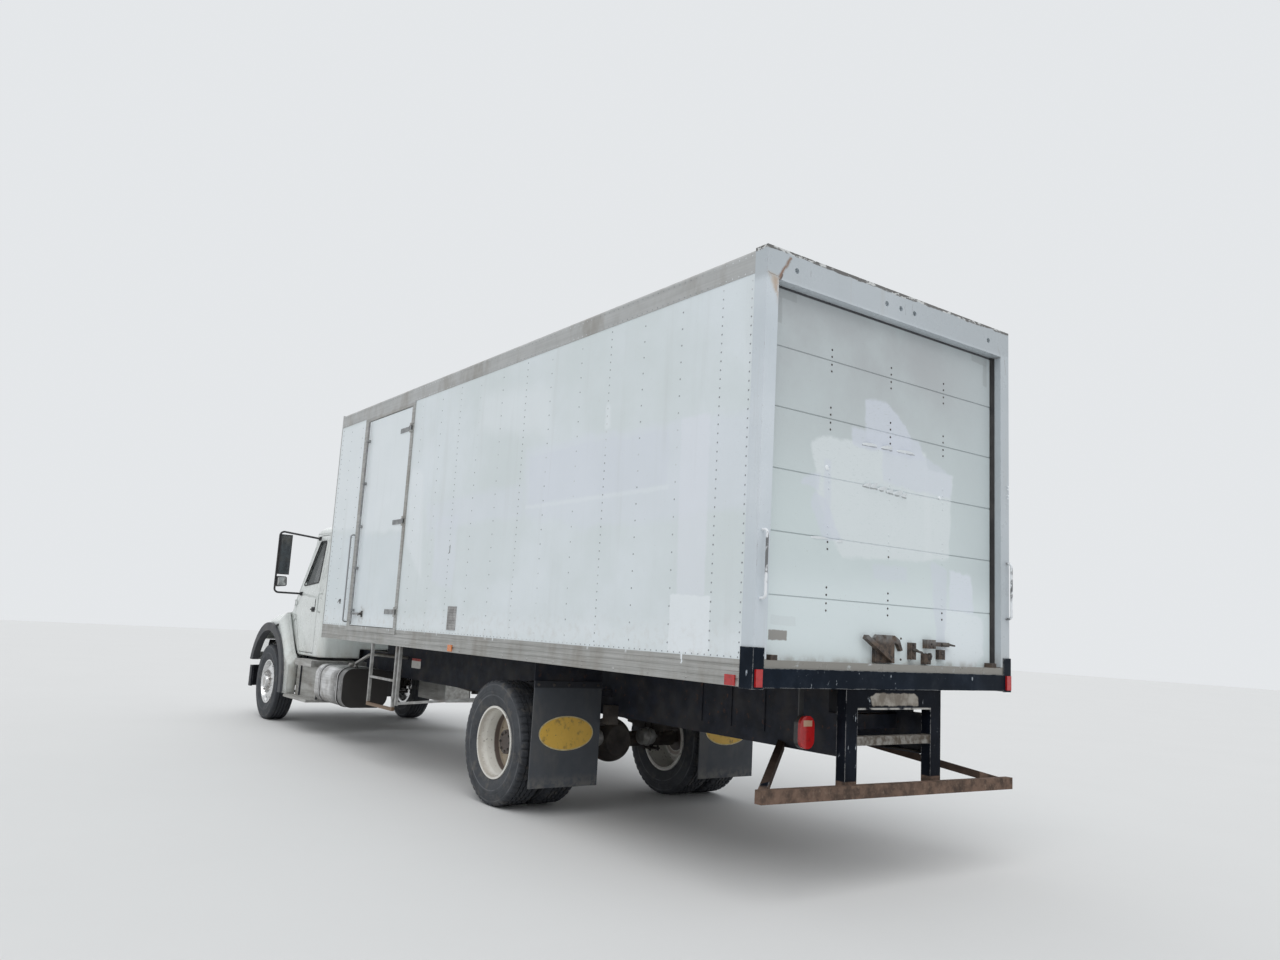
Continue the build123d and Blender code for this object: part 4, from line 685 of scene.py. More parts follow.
for build, rows in (
    (dull_metal, (
        ("mirror_face", (0.13, 0.14, 0.15), (0.08, 0.085, 0.09), 0.14, 0.8),
        ("mirror_pale", (0.62, 0.62, 0.61), (0.40, 0.41, 0.42), 0.16, 0.7),
        ("brake_grey", (0.34, 0.34, 0.33), (0.18, 0.175, 0.165), 0.55, 0.3),
        ("sign_rim", (0.66, 0.56, 0.32), (0.42, 0.34, 0.17), 0.6, 0.0),
        ("bolt_dark", (0.10, 0.09, 0.08), (0.045, 0.04, 0.038), 0.55, 0.4),
        ("bolt_bright", (0.50, 0.50, 0.49), (0.26, 0.25, 0.24), 0.4, 0.7),
        ("bright_nuts", (0.60, 0.60, 0.60), (0.34, 0.33, 0.32), 0.28, 0.9),
        ("hinge_steel", (0.36, 0.37, 0.37), (0.20, 0.205, 0.21), 0.45),
        ("exhaust_steel", (0.33, 0.29, 0.25), (0.16, 0.12, 0.09)),
        ("step_metal", (0.50, 0.50, 0.48), (0.30, 0.29, 0.27), 0.42, 0.6, (0.1, 1, 1)),
    )),
    (cab_paint, (("cab_paint", 0.035), ("hood_paint", 0.15))),
    (worn_black, (
        ("beam_black", (0.004, 0.008, 0.015), 0.8, 0.07), ("fitting_black", (0.014, 0.015, 0.019), 0.4, 0.12),
    )),
    (chassis_black, (
        ("frame_black", (0.009, 0.011, 0.017), 0.3), ("axle_iron", (0.030, 0.026, 0.024), 0.8),
        ("engine_grey", (0.06, 0.06, 0.062), 0.6),
    )),
    (clear_glass, (("lamp_clear", (0.62, 0.65, 0.68), 0.10), ("cab_glass", (0.035, 0.045, 0.045), 0.45))),
    (plastic, (
        ("black_plastic", (0.016, 0.016, 0.018)), ("cab_trim", (0.085, 0.085, 0.090), 220, 0.65),
        ("flare_grey", (0.045, 0.047, 0.052), 180, 0.6), ("grille_dark", (0.030, 0.030, 0.033), 200, 0.5),
    )),
    (tyre_rubber, (("front_tyre_rubber", FRONT_AXLE, 0.35), ("rear_tyre_rubber", REAR_AXLE, 0.45))),
    (round_wheel, (
        ("front_wheel_metal", FRONT_AXLE, 0.22, 0.85, (0.62, 0.62, 0.62), (0.82, 0.82, 0.82), (),
         ((0.0, 0.06, 0.5, (0.25, 0.22, 0.19)), (0.10, 0.13, 0.5, (0.30, 0.26, 0.22)))),
        ("rear_wheel_paint", REAR_AXLE, 0.45, 0.0, (0.70, 0.68, 0.61), (0.84, 0.825, 0.78),
         # The dark brown band across the rear wheel, from 1004 to 1050 mm out, is painted shade in the deep corner of
         # the dish.
         ((0.90, 1.004, 0.8, (0.45, 0.36, 0.245)), (1.004, 1.050, 0.9, (0.085, 0.050, 0.040))),
         ((-0.1, 0.122, 0.96, (0.050, 0.032, 0.026)), (0.13, 0.16, 0.6, (0.20, 0.12, 0.07)),
          (0.275, 0.285, 0.5, (0.25, 0.19, 0.13)))),
    )),
):
    for row in rows:
        build(*row)

for key, names in {
    "wall_paint": "side_wall_left side_wall_right front_wall side_door",
    "door_paint": "roll_door",
    "rear_frame_paint": "rear_frame",
    "rail_metal": "roof_panel body_rails side_door_frame",
    "beam_black": "bumper_beam",
    "hardware_finish": "body_hardware",
    "hinge_steel": "side_door_hardware",
    "ladder_paint": "side_ladder",
    "deck_planks": "body_floor",
    "frame_black": "body_sills frame_rails frame_crossmembers air_tanks",
    "flap_rubber": "mud_flaps",
    "axle_iron": "leaf_springs rear_axle front_axle knuckle_left knuckle_right tie_rod drive_shaft",
    "rear_tyre_rubber": "rear_tyres_left rear_tyres_right",
    "rear_wheel_paint": "rear_wheels_left rear_wheels_right",
    "front_tyre_rubber": "front_tyre_left front_tyre_right",
    "front_wheel_metal": "front_wheel_left front_wheel_right",
    "engine_grey": "engine",
    "exhaust_steel": "exhaust",
    "tank_metal": "fuel_tank",
    "step_metal": "cab_steps",
    "guard_metal": "underride_guard",
    "lamp_red": "red_lamps",
    "lamp_amber": "amber_lamps",
    "lamp_clear": "headlamps",
    "cab_paint": "cab_back cab_roof cab_front cab_door_left cab_door_right",
    "hood_paint": "hood",
    "cab_glass": "cab_glass door_glass_left door_glass_right",
    "cab_trim": "cab_floor cab_interior",
    "black_plastic": "steering_wheel mirror_left mirror_right",
    "grille_dark": "grille",
    "flare_grey": "fender_flares",
    "fitting_black": "front_bumper",
}.items():
    for name in names.split():
        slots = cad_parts[name].data.materials
        if slots:
            slots[0] = made[key]
        else:
            slots.append(made[key])


# Shapes


class Shape:
    """A mesh gathered from simple forms, for one piece of the scene."""

    def __init__(self):
        self.points, self.faces = [], []

    def skin(self, rings, ends=True, closed=False):
        """Faces between rings with as many points each; then over both ends, or from the last ring to the first."""
        start, count = len(self.points), len(rings[0])
        self.points += [tuple(p) for ring in rings for p in ring]
        lows = [start + k * count for k in range(len(rings))]
        for low, high in zip(lows, lows[1:] + lows[:1] if closed else lows[1:]):
            for i in range(count):
                j = (i + 1) % count
                self.faces.append((low + i, low + j, high + j, high + i))
        if ends and not closed:
            self.faces.append(tuple(range(start, start + count))[::-1])
            self.faces.append(tuple(range(lows[-1], lows[-1] + count)))
        return self

    def block(self, x0, x1, y0, y1, z0, z1):
        return self.prism(rectangle(y0, y1, z0, z1), x0, x1)

    def prism(self, outline, low, high, axis=0):
        """An outline of the two other axes, in their order, drawn out along one axis."""
        return self.skin([[(*p[:axis], level, *p[axis:]) for p in outline] for level in (low, high)])

    def pipe(self, path, radius, sides=10, ends=True):
        """A round bar along a path; the radius may be a list with one value per point."""
        path = [Vector(p) for p in path]
        radii = radius if isinstance(radius, list) else [radius] * len(path)
        rings, side = [], None
        for k, here in enumerate(path):
            along = (path[min(k + 1, len(path) - 1)] - path[max(k - 1, 0)]).normalized()
            if side is None:
                side = along.orthogonal().normalized()
            side = (side - along * side.dot(along)).normalized()
            other = along.cross(side)
            rings.append([here + radii[k] * (c * side + s * other) for c, s in circle(sides)])
        return self.skin(rings, ends)

    def loop(self, line, radius, sides=8):
        """A closed pipe along a closed line."""
        return self.pipe(line + line[:2], radius, sides, ends=False)

    def stud(self, place, outward, radius, height, sides=8, crown=0.6):
        """A rivet or bolt head: a low ring with smaller ones above it, closed at both ends."""
        place, outward = Vector(place), Vector(outward).normalized()
        side = outward.orthogonal().normalized()
        other = outward.cross(side)
        return self.skin([[place + outward * height * level + radius * size * (c * side + s * other)
                           for c, s in circle(sides)] for size, level in ((1.0, 0.0), (0.9, 0.55), (crown, 1.0))])

    def piece(self, name, finish, body="chassis", bevel=0.0, angle=35, replaces=()):
        mesh = bpy.data.meshes.new(name)
        mesh.from_pydata([at(*p) for p in self.points], [], self.faces)
        outward = bmesh.new()
        outward.from_mesh(mesh)
        bmesh.ops.recalc_face_normals(outward, faces=outward.faces)
        outward.to_mesh(mesh)
        outward.free()
        mesh.shade_smooth()
        mesh.set_sharp_from_angle(angle=math.radians(angle))
        mesh.materials.append(made[finish])
        made_object = bpy.data.objects.new(name, mesh)
        bpy.context.scene.collection.objects.link(made_object)
        if bevel:
            rounding = made_object.modifiers.new("edges", "BEVEL")
            rounding.width = bevel / 1000
            rounding.segments = 2
            rounding.limit_method = "ANGLE"
        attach(made_object, body)
        if replaces:
            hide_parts(*replaces)
        return made_object


def each_side(build):
    """Make the function below build for both sides of the truck."""
    def both():
        for side, name in SIDES:
            build(side, name)
    return both


@each_side
def side_rivets(side, name):
    """Rivets down the sides: close at the joints of the sheets, wider apart at the posts between."""
    columns = (
        (60, 1432, (132, 410, 1698, 2980, 4265, 7560), (5610,)),
        (119, 1461.5, (831, 1268, 2108, 2566, 3414, 3852, 4690, 5172, 6905, 7260), (6040, 6470)),
    )
    outward = (0, side, 0)
    rivets = Shape()
    for pitch, low, both, right_only in columns:
        for x in both + (right_only if side < 0 else ()):
            for z in steps(low, 3795, pitch):
                rivets.stud((x, side * WALL, z), outward, 6.5, 2.6, 7)
    for x in range(140, 7620, 62):
        rivets.stud((x, side * RAIL, 3936), outward, 5.5, 2.4, 7)
        if side < 0 or not SIDE_DOOR[0] < x < SIDE_DOOR[1]:
            rivets.stud((x, side * WALL, 1404), outward, 5.5, 2.4, 7)
            rivets.stud((x, side * RAIL, 3828), outward, 5.5, 2.4, 7)
    rivets.piece(f"rivets_{name}", "rivet_metal")
    bolts = Shape()
    for x in steps(213, 7600, 406):
        for z, out in ((1254, RAIL), (1283, RAIL - 4)):
            bolts.stud((x, side * out, z), outward, 9, 4.5, 8)
    bolts.piece(f"rail_bolts_{name}", "bolt_bright")


def front_rivets():
    rivets = Shape()
    for y in (-1180, -780, -390, 0, 390, 780, 1180):
        for z in range(1440, 3900, 95):
            rivets.stud((7720, y, z), (1, 0, 0), 6, 2.5, 7)
    rivets.piece("rivets_front", "rivet_metal")


def roll_door_fittings():
    """Hinge bolts over every seam of the rear door, and curls of torn paint on some seams."""
    bolts = {"bolt_dark": Shape(), "roll_door": Shape()}
    for seam in DOOR_SEAMS:
        for y, dark_from in ((605, 2170), (0, 2120), (-590, 1800)):
            for step in (-72, -26, 28, 76):
                dark = seam + step < dark_from or seam > 2950
                bolts["bolt_dark" if dark else "roll_door"].stud((DOOR_FACE, y, seam + step), (-1, 0, 0), 7.5, 3.5, 8)
    for (name, shape), finish in zip(bolts.items(), ("bolt_dark", "door_paint")):
        shape.piece(f"hinge_bolts_{name}", finish)
    curls = Shape()
    for y, z, length, lift in (
        (268, 2580, 70, 13), (200, 2580, 60, 20), (120, 2574, 90, 15), (30, 2568, 60, 11), (-40, 2562, 90, 21),
        (-120, 2556, 60, 16), (285, 2862, 150, 9), (93, 2866, 115, 15), (-72, 2868, 190, 8), (760, 2180, 160, 6),
        (520, 2176, 60, 7),
    ):
        line = []
        for t in [k / 6 for k in range(7)]:
            bend = 1.8 * lift * math.sin(math.pi * t) ** 0.7
            line.append(((77.4 - bend * 0.3, y - length * t, z - 4 - 3 * math.sin(5 * t)),
                         (77.4 - bend, y - length * t, z + 5 + bend * 0.5)))
        for (low, high), (next_low, next_high) in zip(line, line[1:]):
            front = [low, next_low, next_high, high]
            curls.skin([front, [(px + 1.5, py, pz) for px, py, pz in front]])
    curls.piece("paint_curls", "fresh_paint")


def tyre_rings(x, y, lugs, depth, count):
    """Rings round a ribbed tyre whose shoulders, or whole tread for a driven wheel, are cut by cross grooves."""
    w, ribs = TYRE_HALF, 5
    side = [(302, 104), (312, 112), (330, 119), (352, 128), (380, 136), (400, w), (424, w), (428, w - 2), (432, w),
            (452, w - 3), (474, w - 7), (478, w - 11), (483, w - 9), (500, w - 13), (511, w - 18), (518, w - 30)]
    tread = []
    for k in range(1, ribs):
        groove = (w - 30) * (1 - 2 * k / ribs)
        tread += [(519.5, groove + 7), (505, groove + 5), (505, groove - 5), (519.5, groove - 7)]
    rings = []
    for i, (c, s) in enumerate(circle(count)):
        ring = []
        for r, d in side + tread + [(r, -d) for r, d in reversed(side)]:
            outer = abs(d) > w - 48
            if (i * lugs / count + 0.22 * d / w) % 1.0 < 0.30:
                if r > 500 and (outer or depth > 9):
                    r -= depth * (1.0 if outer else 0.75)
                if outer and 484 < r <= 512:
                    d *= 0.985
            ring.append((x + r * c, y + d, AXLE_HEIGHT + r * s))
        rings.append(ring)
    return rings


@each_side
def tyres(side, name):
    for end, axle, finish, places, node, *tread in (
        ("rear", REAR_AXLE, "rear_tyre_rubber", REAR_TYRES, "rear_tyres", 48, 12, 192),
        ("front", FRONT_AXLE, "front_tyre_rubber", (FRONT_TYRE,), "front_tyre", 72, 5, 216),
    ):
        shape = Shape()
        for place in places:
            shape.skin(tyre_rings(axle, side * place, *tread), closed=True)
        shape.piece(f"{end}_tread_{name}", finish, f"wheel_{end}_{name}", angle=28, replaces=(f"{node}_{name}",))


@each_side
def wheel_nuts(side, name):
    """Wheel nuts with their studs, and the rear hubs' bolts."""
    for end, axle, finish, rows in (
        ("rear", REAR_AXLE, "bolt_dark", (
            (10, 0.5, 143, TWIN_MIDDLE + 22, 19, 26, 6, 0.8), (10, 0.5, 143, TWIN_MIDDLE + 46, 10, 22, 8, 0.8),
            (8, 0, 78, TWIN_MIDDLE + 170, 12, 12, 6, 0.85))),
        ("front", FRONT_AXLE, "bright_nuts", (
            (10, 0.5, 143, FRONT_TYRE + 105, 19, 26, 6, 0.8), (10, 0.5, 143, FRONT_TYRE + 129, 10, 14, 8, 0.8))),
    ):
        nuts = Shape()
        for count, phase, radius, out, *head in rows:
            for c, s in circle(count, phase):
                nuts.stud((axle + radius * c, side * out, AXLE_HEIGHT + radius * s), (0, side, 0), *head)
        nuts.piece(f"{end}_nuts_{name}", finish, f"wheel_{end}_{name}")


@each_side
def flap_signs(side, name):
    """A plain ochre oval with a pale rim on each mud flap, left without lettering, and the flaps' bolts."""
    outer, inner = ([(side * 878 + (262 - rim) * c, 662 + (138 - rim) * s) for c, s in circle(56)]
                    for rim in (0, 9))
    Shape().prism(inner, 2638.6, 2640.2).piece(f"flap_oval_{name}", "sign_ochre")
    rings = [[(2638.2, *a), (2638.2, *b), (2640.2, *b), (2640.2, *a)] for a, b in zip(outer, inner)]
    Shape().skin(rings, closed=True).piece(f"flap_rim_{name}", "sign_rim")
    bolts = Shape()
    for y in range(590, 1171, 145):
        bolts.stud((2640, side * y, 1050), (-1, 0, 0), 14, 7, 6, 0.85)
    bolts.piece(f"flap_bolts_{name}", "bolt_dark")


def rear_fittings():
    """Rubber lips beside the rear door, dabs of paint and hooks round it, and details of its locks."""
    for side, wide, name in ((-1, 27, "right"), (1, 9, "left")):
        outline = [(52, 0), (76, 0), (77.5, 1), (70, 1), (65, 0.45), (54, 0.1)]
        lip = Shape().prism([(x, side * (1190 - wide * part)) for x, part in outline], 1402, 3764, 2)
        lip.piece(f"door_seal_{name}", "window_rubber")
    dabs = Shape()
    for y, z, size in ((629, 2649, 17), (-552, 2594, 13), (618, 2641, 9), (-560, 2586, 7)):
        dabs.stud((DOOR_FACE, y, z), (-1, 0, 0), size, 5, 9, 0.45)
    for z in (2682, 2751):
        dabs.pipe([(1, -1268, z + 14), (-14, -1268, z + 12), (-20, -1267, z - 4), (-15, -1264, z - 18),
                   (-8, -1262, z - 12)], 3.5, 8)
    dabs.piece("paint_dabs_and_hooks", "fresh_paint")
    locks = Shape()
    locks.pipe([(40, -392, 1476), (20, -392, 1478), (14, -392, 1462), (18, -392, 1442), (34, -392, 1436)], 7, 8)
    locks.pipe([(42, -236, 1496), (24, -240, 1496), (18, -262, 1488), (18, -300, 1482)], [13, 12, 8, 7], 8)
    locks.pipe([(54, -560, 1545), (40, -620, 1547), (40, -690, 1540)], [12, 9, 6], 8)
    for place in ((42, -236, 1535), (42, -236, 1446), (44, -392, 1414), (38, -424, 1543), (38, -450, 1524),
                  (48, -556, 1484), (48, -104, 1570), (48, 100, 1430), (48, -104, 1430)):
        locks.stud(place, (-1, 0, 0), 9, 6, 6, 0.8)
    locks.piece("lock_details", "bolt_dark", bevel=0.8)


def side_fittings():
    """Small fittings of the left side: a ribbed plate, a torn flap of skin, the door's handle and a blank label."""
    face = 1297
    outline = [(3996, WALL), (3996, face)]
    for x in range(4006, 4154, 21):
        outline += [(x, face), (x + 4, face + 4), (x + 11, face + 4), (x + 15, face)]
    plate = Shape().prism(outline + [(4177, face), (4177, WALL)], 1433, 1651, 2)
    for x, z in ((4001, 1440), (4172, 1440), (4001, 1644), (4172, 1644)):
        plate.stud((x, face, z), (0, 1, 0), 5, 2.5, 7)
    plate.piece("ribbed_side_plate", "bare_plate", bevel=0.8)

    corners = [(7092, 1293, 1702), (7152, 1294, 1693), (7146, 1306, 1668), (7118, 1318, 1646)]
    Shape().skin([corners, [(x, y + 1.6, z + 1) for x, y, z in corners]]).piece("torn_skin_flap", "wall_paint")

    handle = Shape()
    handle.prism([(6330, 1500), (6374, 1500), (6378, 1535), (6374, 1570), (6330, 1570), (6326, 1535)], 1299, 1305, 1)
    handle.pipe([(6352, 1304, 1535), (6352, 1322, 1535), (6352, 1327, 1534)], [11, 8, 8])
    handle.pipe([(6310, 1328, 1551), (6330, 1331, 1543), (6374, 1331, 1527), (6394, 1328, 1519)], [6, 8, 8, 6])
    for z in (1510, 1560):
        handle.stud((6352, 1305, z), (0, 1, 0), 6, 3, 6, 0.8)
    handle.piece("side_door_handle", "bolt_dark", "side_door_leaf", bevel=1)

    label = Shape().prism([(6606, 939), (6612, 933), (6857, 933), (6863, 939), (6863, 1040), (6857, 1046),
                           (6612, 1046), (6606, 1040)], 432.2, 433.8, 1)
    for x in (6614, 6855):
        for z in (941, 1038):
            label.stud((x, 433.8, z), (0, 1, 0), 4, 2, 7)
    label.piece("blank_rail_label", "blank_label")


def wall_posts():
    """Hat-shaped posts inside the load space."""
    half = [(-42, 0), (-40, 3), (-18, 3), (-14, 24)]
    posts = Shape()
    for x in range(420, 7476, 415):
        for side in (1, -1):
            if side < 0 or not 5340 < x < 6820:
                hat = half + [(-dx, depth) for dx, depth in reversed(half)]
                posts.prism([(x + dx, side * (INNER_WALL - depth)) for dx, depth in hat], 1392, 3812, 2)
    posts.piece("inner_wall_posts", "rail_metal")


def running_gear():
    """U-bolts over the springs, brake chambers behind the rear axle, the tank's cap and filler pipe."""
    bolts = Shape()
    for x, out, low, high in ((REAR_AXLE, 492, 424, 718), (FRONT_AXLE, 394, 400, 668)):
        for y in (out, -out):
            half = [(-47, low), (-47, high - 12), (-36, high)]
            hoop = half + [(-across, z) for across, z in reversed(half)]
            for step in (-44, 44):
                for across in (-47, 47):
                    bolts.stud((x + step, y + across, low + 2), (0, 0, -1), 14, 16, 6, 0.85)
                bolts.pipe([(x + step, y + across, z) for across, z in hoop], 8, 8)
            bolts.block(x - 62, x + 62, y - 62, y + 62, low, low + 14)
    bolts.piece("spring_u_bolts", "axle_iron", bevel=1)

    cans = Shape()
    profile = [(0, -82), (48, -82), (66, -74), (74, -58), (74, -12), (82, -8), (82, 8), (74, 12), (74, 46), (62, 66),
               (40, 74), (16, 76), (14, 120), (0, 120)]
    for side in (1, -1):
        cans.skin([[(REAR_AXLE - 172 + r * c, side * (300 + d), 560 + r * s) for c, s in circle(28)]
                   for r, d in profile], ends=False)
        cans.prism([(REAR_AXLE - 168, 500), (REAR_AXLE - 40, 500), (REAR_AXLE - 40, 560), (REAR_AXLE - 168, 620)],
                   side * 380, side * 392, 1)
    cans.piece("brake_chambers", "brake_grey")

    cap = Shape()
    cap.stud((7560, 900, 898), (0, 0, 1), 56, 16, 24, 0.95)
    cap.stud((7560, 900, 912), (0, 0, 1), 48, 24, 10, 0.9)
    cap.pipe([(7446, 900, 880), (7446, 900, 915), (7432, 900, 938), (7400, 900, 950), (7040, 900, 1058),
              (7004, 892, 1066), (6984, 868, 1068), (6978, 820, 1068), (6978, 440, 1040)], 20, 12)
    cap.pipe([(7446, 900, 884), (7446, 900, 912)], 27, 12)
    cap.piece("tank_cap_and_pipe", "step_metal")


@each_side
def step_treads(side, name):
    """Raised ribs over both steps and down the panel between them, with dark posts at its ends."""
    tread = Shape()
    for low, high, reach, top in ((8250, 8900, 1180, 912), (8212, 9139, 1220, 430)):
        for k in range(5):
            y = side * (reach - 12 - 21 * k)
            tread.prism([(y - 6, top), (y - 4, top + 4), (y + 4, top + 4), (y + 6, top)], low + 10, high - 10)
        for x in range(low + 24, high - 20, 34):
            tread.block(x - 3, x + 3, side * (reach - 106), side * (reach - 6), top, top + 3)
    panel = side * 1065
    for x in range(8290, 8891, 50):
        tread.prism([(x - 11, panel), (x - 6, panel + side * 6), (x + 6, panel + side * 6), (x + 11, panel)],
                    444, 822, 2)
    tread.piece(f"step_treads_{name}", "step_metal")
    posts = Shape()
    for x in (8262, 8952):
        face = panel + side * 15
        posts.prism([(x - 14, panel), (x - 14, face), (x + 14, face), (x + 14, panel)], 432, 834, 2)
        for z in (470, 790):
            posts.stud((x, face, z), (0, side, 0), 8, 5, 6, 0.8)
    posts.piece(f"step_posts_{name}", "fitting_black", bevel=2)


def rounded(corners, radius, count=4):
    """An outline of two axes with each corner cut to an arc-like curve."""
    corners = [Vector(c) for c in corners]
    line = []
    for k, corner in enumerate(corners):
        before, after = corners[k - 1] - corner, corners[(k + 1) % len(corners)] - corner
        first, last = corner + before.normalized() * radius, corner + after.normalized() * radius
        for i in range(count + 1):
            t = i / count
            line.append((1 - t) ** 2 * first + 2 * t * (1 - t) * corner + t ** 2 * last)
    return line


def skin_out(z):
    """How far out the cab's side is at a height above its belt."""
    return 1035 - math.tan(math.radians(5.5)) * (z - CAB_BELT)


def screen_place(y, z, lift):
    """A point on the raked windscreen, lifted off it."""
    bulge = 70 * min(1, max(0, (abs(y) - 414) / 467))
    along = 9775 - math.tan(SCREEN_RAKE) * (z - CAB_BELT) - bulge
    return Vector((along + lift * math.cos(SCREEN_RAKE), y, z + lift * math.sin(SCREEN_RAKE)))


def cab_fittings():
    """Window rubbers, wipers and roof lamps."""
    rubbers = Shape()
    flat = rounded(rectangle(-850, 850, -370, 370), 95)
    rubbers.loop([screen_place(y, CAB_BELT + math.cos(SCREEN_RAKE) * (430 + up), 1) for y, up in flat], 11)
    rubbers.loop([(CAB_BACK, y, z) for y, z in rounded(rectangle(-480, 480, 1900, 2380), 40)], 10)
    rubbers.piece("window_rubbers", "window_rubber")

    wipers = Shape()
    for y in (-150, 560):
        arm = [screen_place(y, 1706, 8), screen_place(y, 1708, 26), screen_place(y - 190, 1742, 26),
               screen_place(y - 300, 1762, 18)]
        wipers.pipe(arm, [11, 9, 6, 5], 8)
        blade = [screen_place(y - d, 1752 + 0.03 * d, 12) for d in (20, 150, 300, 420, 560)]
        wipers.pipe(blade, [4, 7, 8, 7, 4], 6)
    wipers.piece("wipers", "black_plastic")

    lamps = Shape()
    for y in (-620, -160, 0, 160, 620):
        lamps.stud((9126, y, 2626), (0.5, 0, 0.866), 34, 12, 14, 0.95)
        lamps.stud((9130, y, 2634), (0.5, 0, 0.866), 27, 20, 14, 0.6)
    lamps.piece("roof_lamps", "lamp_amber")


@each_side
def cab_side_fittings(side, name):
    """One side's door trim and handle, mirror faces, hood latch, headlamp bowl and surround."""
    body = f"door_{name}"
    window = rounded([(8775, 1920), (9367, 1875), (9003, 2480), (8775, 2480)], 42)
    trim = Shape().loop([(x, side * (skin_out(z) + 1), z) for x, z in window], 9)
    trim.block(8768, 8776, side * 1029, side * 1040, 1560, 1700)
    trim.pipe([(x, side * y, 1561) for x, y in ((8792, 1036), (8792, 1050), (8800, 1058), (8880, 1058), (8888, 1050),
                                                (8888, 1036))], 8, 8)
    trim.prism(rounded(rectangle(8772, 8908, 1528, 1592), 18), side * 1034, side * 1039, 1)
    trim.stud((8930, side * 1034, 1561), (0, side, 0), 12, 4, 12, 0.8)
    trim.piece(f"door_trim_{name}", "black_plastic", body)

    tall = [(side * y, z) for y, z in rounded(rectangle(1254, 1389, 2024, 2544), 26)]
    Shape().prism(tall, 9368.4, 9366).piece(f"mirror_tall_{name}", "mirror_face", body)
    low = rounded([(1270, 1864), (1388, 1852), (1388, 1974), (1272, 1974)], 20)
    centre = sum(low, Vector((0, 0))) / len(low)
    rings = []
    for size in (1, 0.8, 0.55, 0.25):
        ring = [centre + size * (p - centre) for p in low]
        rings.append([(9366.4 - 7 * (1 - size * size), side * y, z) for y, z in ring])
    Shape().skin(rings).piece(f"mirror_round_{name}", "mirror_pale", body, angle=50)

    latch = Shape().prism([(9800, 1296), (9860, 1300), (9872, 1316), (9860, 1334), (9800, 1338)],
                          side * 1179, side * 1188, 1)
    latch.pipe([(9806, side * 1190, 1317), (9866, side * 1193, 1317), (9884, side * 1186, 1317)], [12, 9, 6], 8)
    latch.piece(f"hood_latch_{name}", "window_rubber", "hood_lid", bevel=2)

    bowl = Shape()
    rows = ((10942, 82 * 1.03), (10938, 82), (10930, 78), (10905, 70), (10880, 52), (10866, 26))
    bowl.skin([[(x, side * LAMP_Y + radius * c, LAMP_Z + radius * s) for c, s in circle(28)] for x, radius in rows],
              ends=False)
    bowl.stud((10866, side * LAMP_Y, LAMP_Z), (1, 0, 0), 20, 34, 12, 0.5)
    bowl.piece(f"lamp_bowl_{name}", "bright_nuts", "hood_lid")
    outer = rounded([(706, 908), (980, 908), (960, 1082), (706, 1082)], 12, 6)
    turn = [2 * math.pi * i / len(outer) - 2.35 for i in range(len(outer))]
    inner = [(LAMP_Y + 83 * math.cos(t), LAMP_Z + 83 * math.sin(t)) for t in turn]
    rings = [[(x, side * y, z) for y, z in line] for x, line in ((10936, inner), (10936, outer), (10926, outer))]
    Shape().skin(rings, ends=False).piece(f"lamp_surround_{name}", "black_plastic", "hood_lid")


def cushion(name, centre, along, across, half_long, half_wide, half_thick, channels, narrow=0.0):
    """A crowned seat cushion: sides that pull in between the corners, a sewn edge and sewn channels."""
    centre, along, across = Vector(centre), Vector(along).normalized(), Vector(across).normalized()
    up = along.cross(across)
    rows = 30
    rings = []
    for i in range(rows + 1):
        u = -math.cos(math.pi * i / rows)
        swell = max(0.0, 1 - abs(u) ** 7) ** 0.35
        wide = half_wide * (1 - 0.035 * (1 - u * u)) * (1 - narrow * max(0.0, u) ** 3)
        ring = []
        for c, s in circle(48):
            v = math.copysign(abs(c) ** 0.42, c)
            w = math.copysign(abs(s) ** 0.62, s)
            crown = 1 - 0.16 * (v * v + u * u) / 2
            groove = 0.0
            if w > 0.2:
                groove = sum(math.exp(-((v - channel) / 0.035) ** 2) for channel in channels)
                groove += math.exp(-((u - 0.1) / 0.025) ** 2) * (abs(v) < 0.55)
            seam = 0.02 * math.exp(-(w / 0.12) ** 2)
            place = centre + along * half_long * u * (1 - 0.03 * v * v)
            place += across * v * wide * (0.35 + 0.65 * swell) * (1 + seam)
            ring.append(place + up * half_thick * w * swell * crown * (1 - 0.10 * groove))
        rings.append(ring)
    pad = Shape().skin(rings).piece(name, "seat_cloth", replaces=("cab_interior",), angle=80)
    smooth = pad.modifiers.new("smooth", "SUBSURF")
    smooth.levels = smooth.render_levels = 1


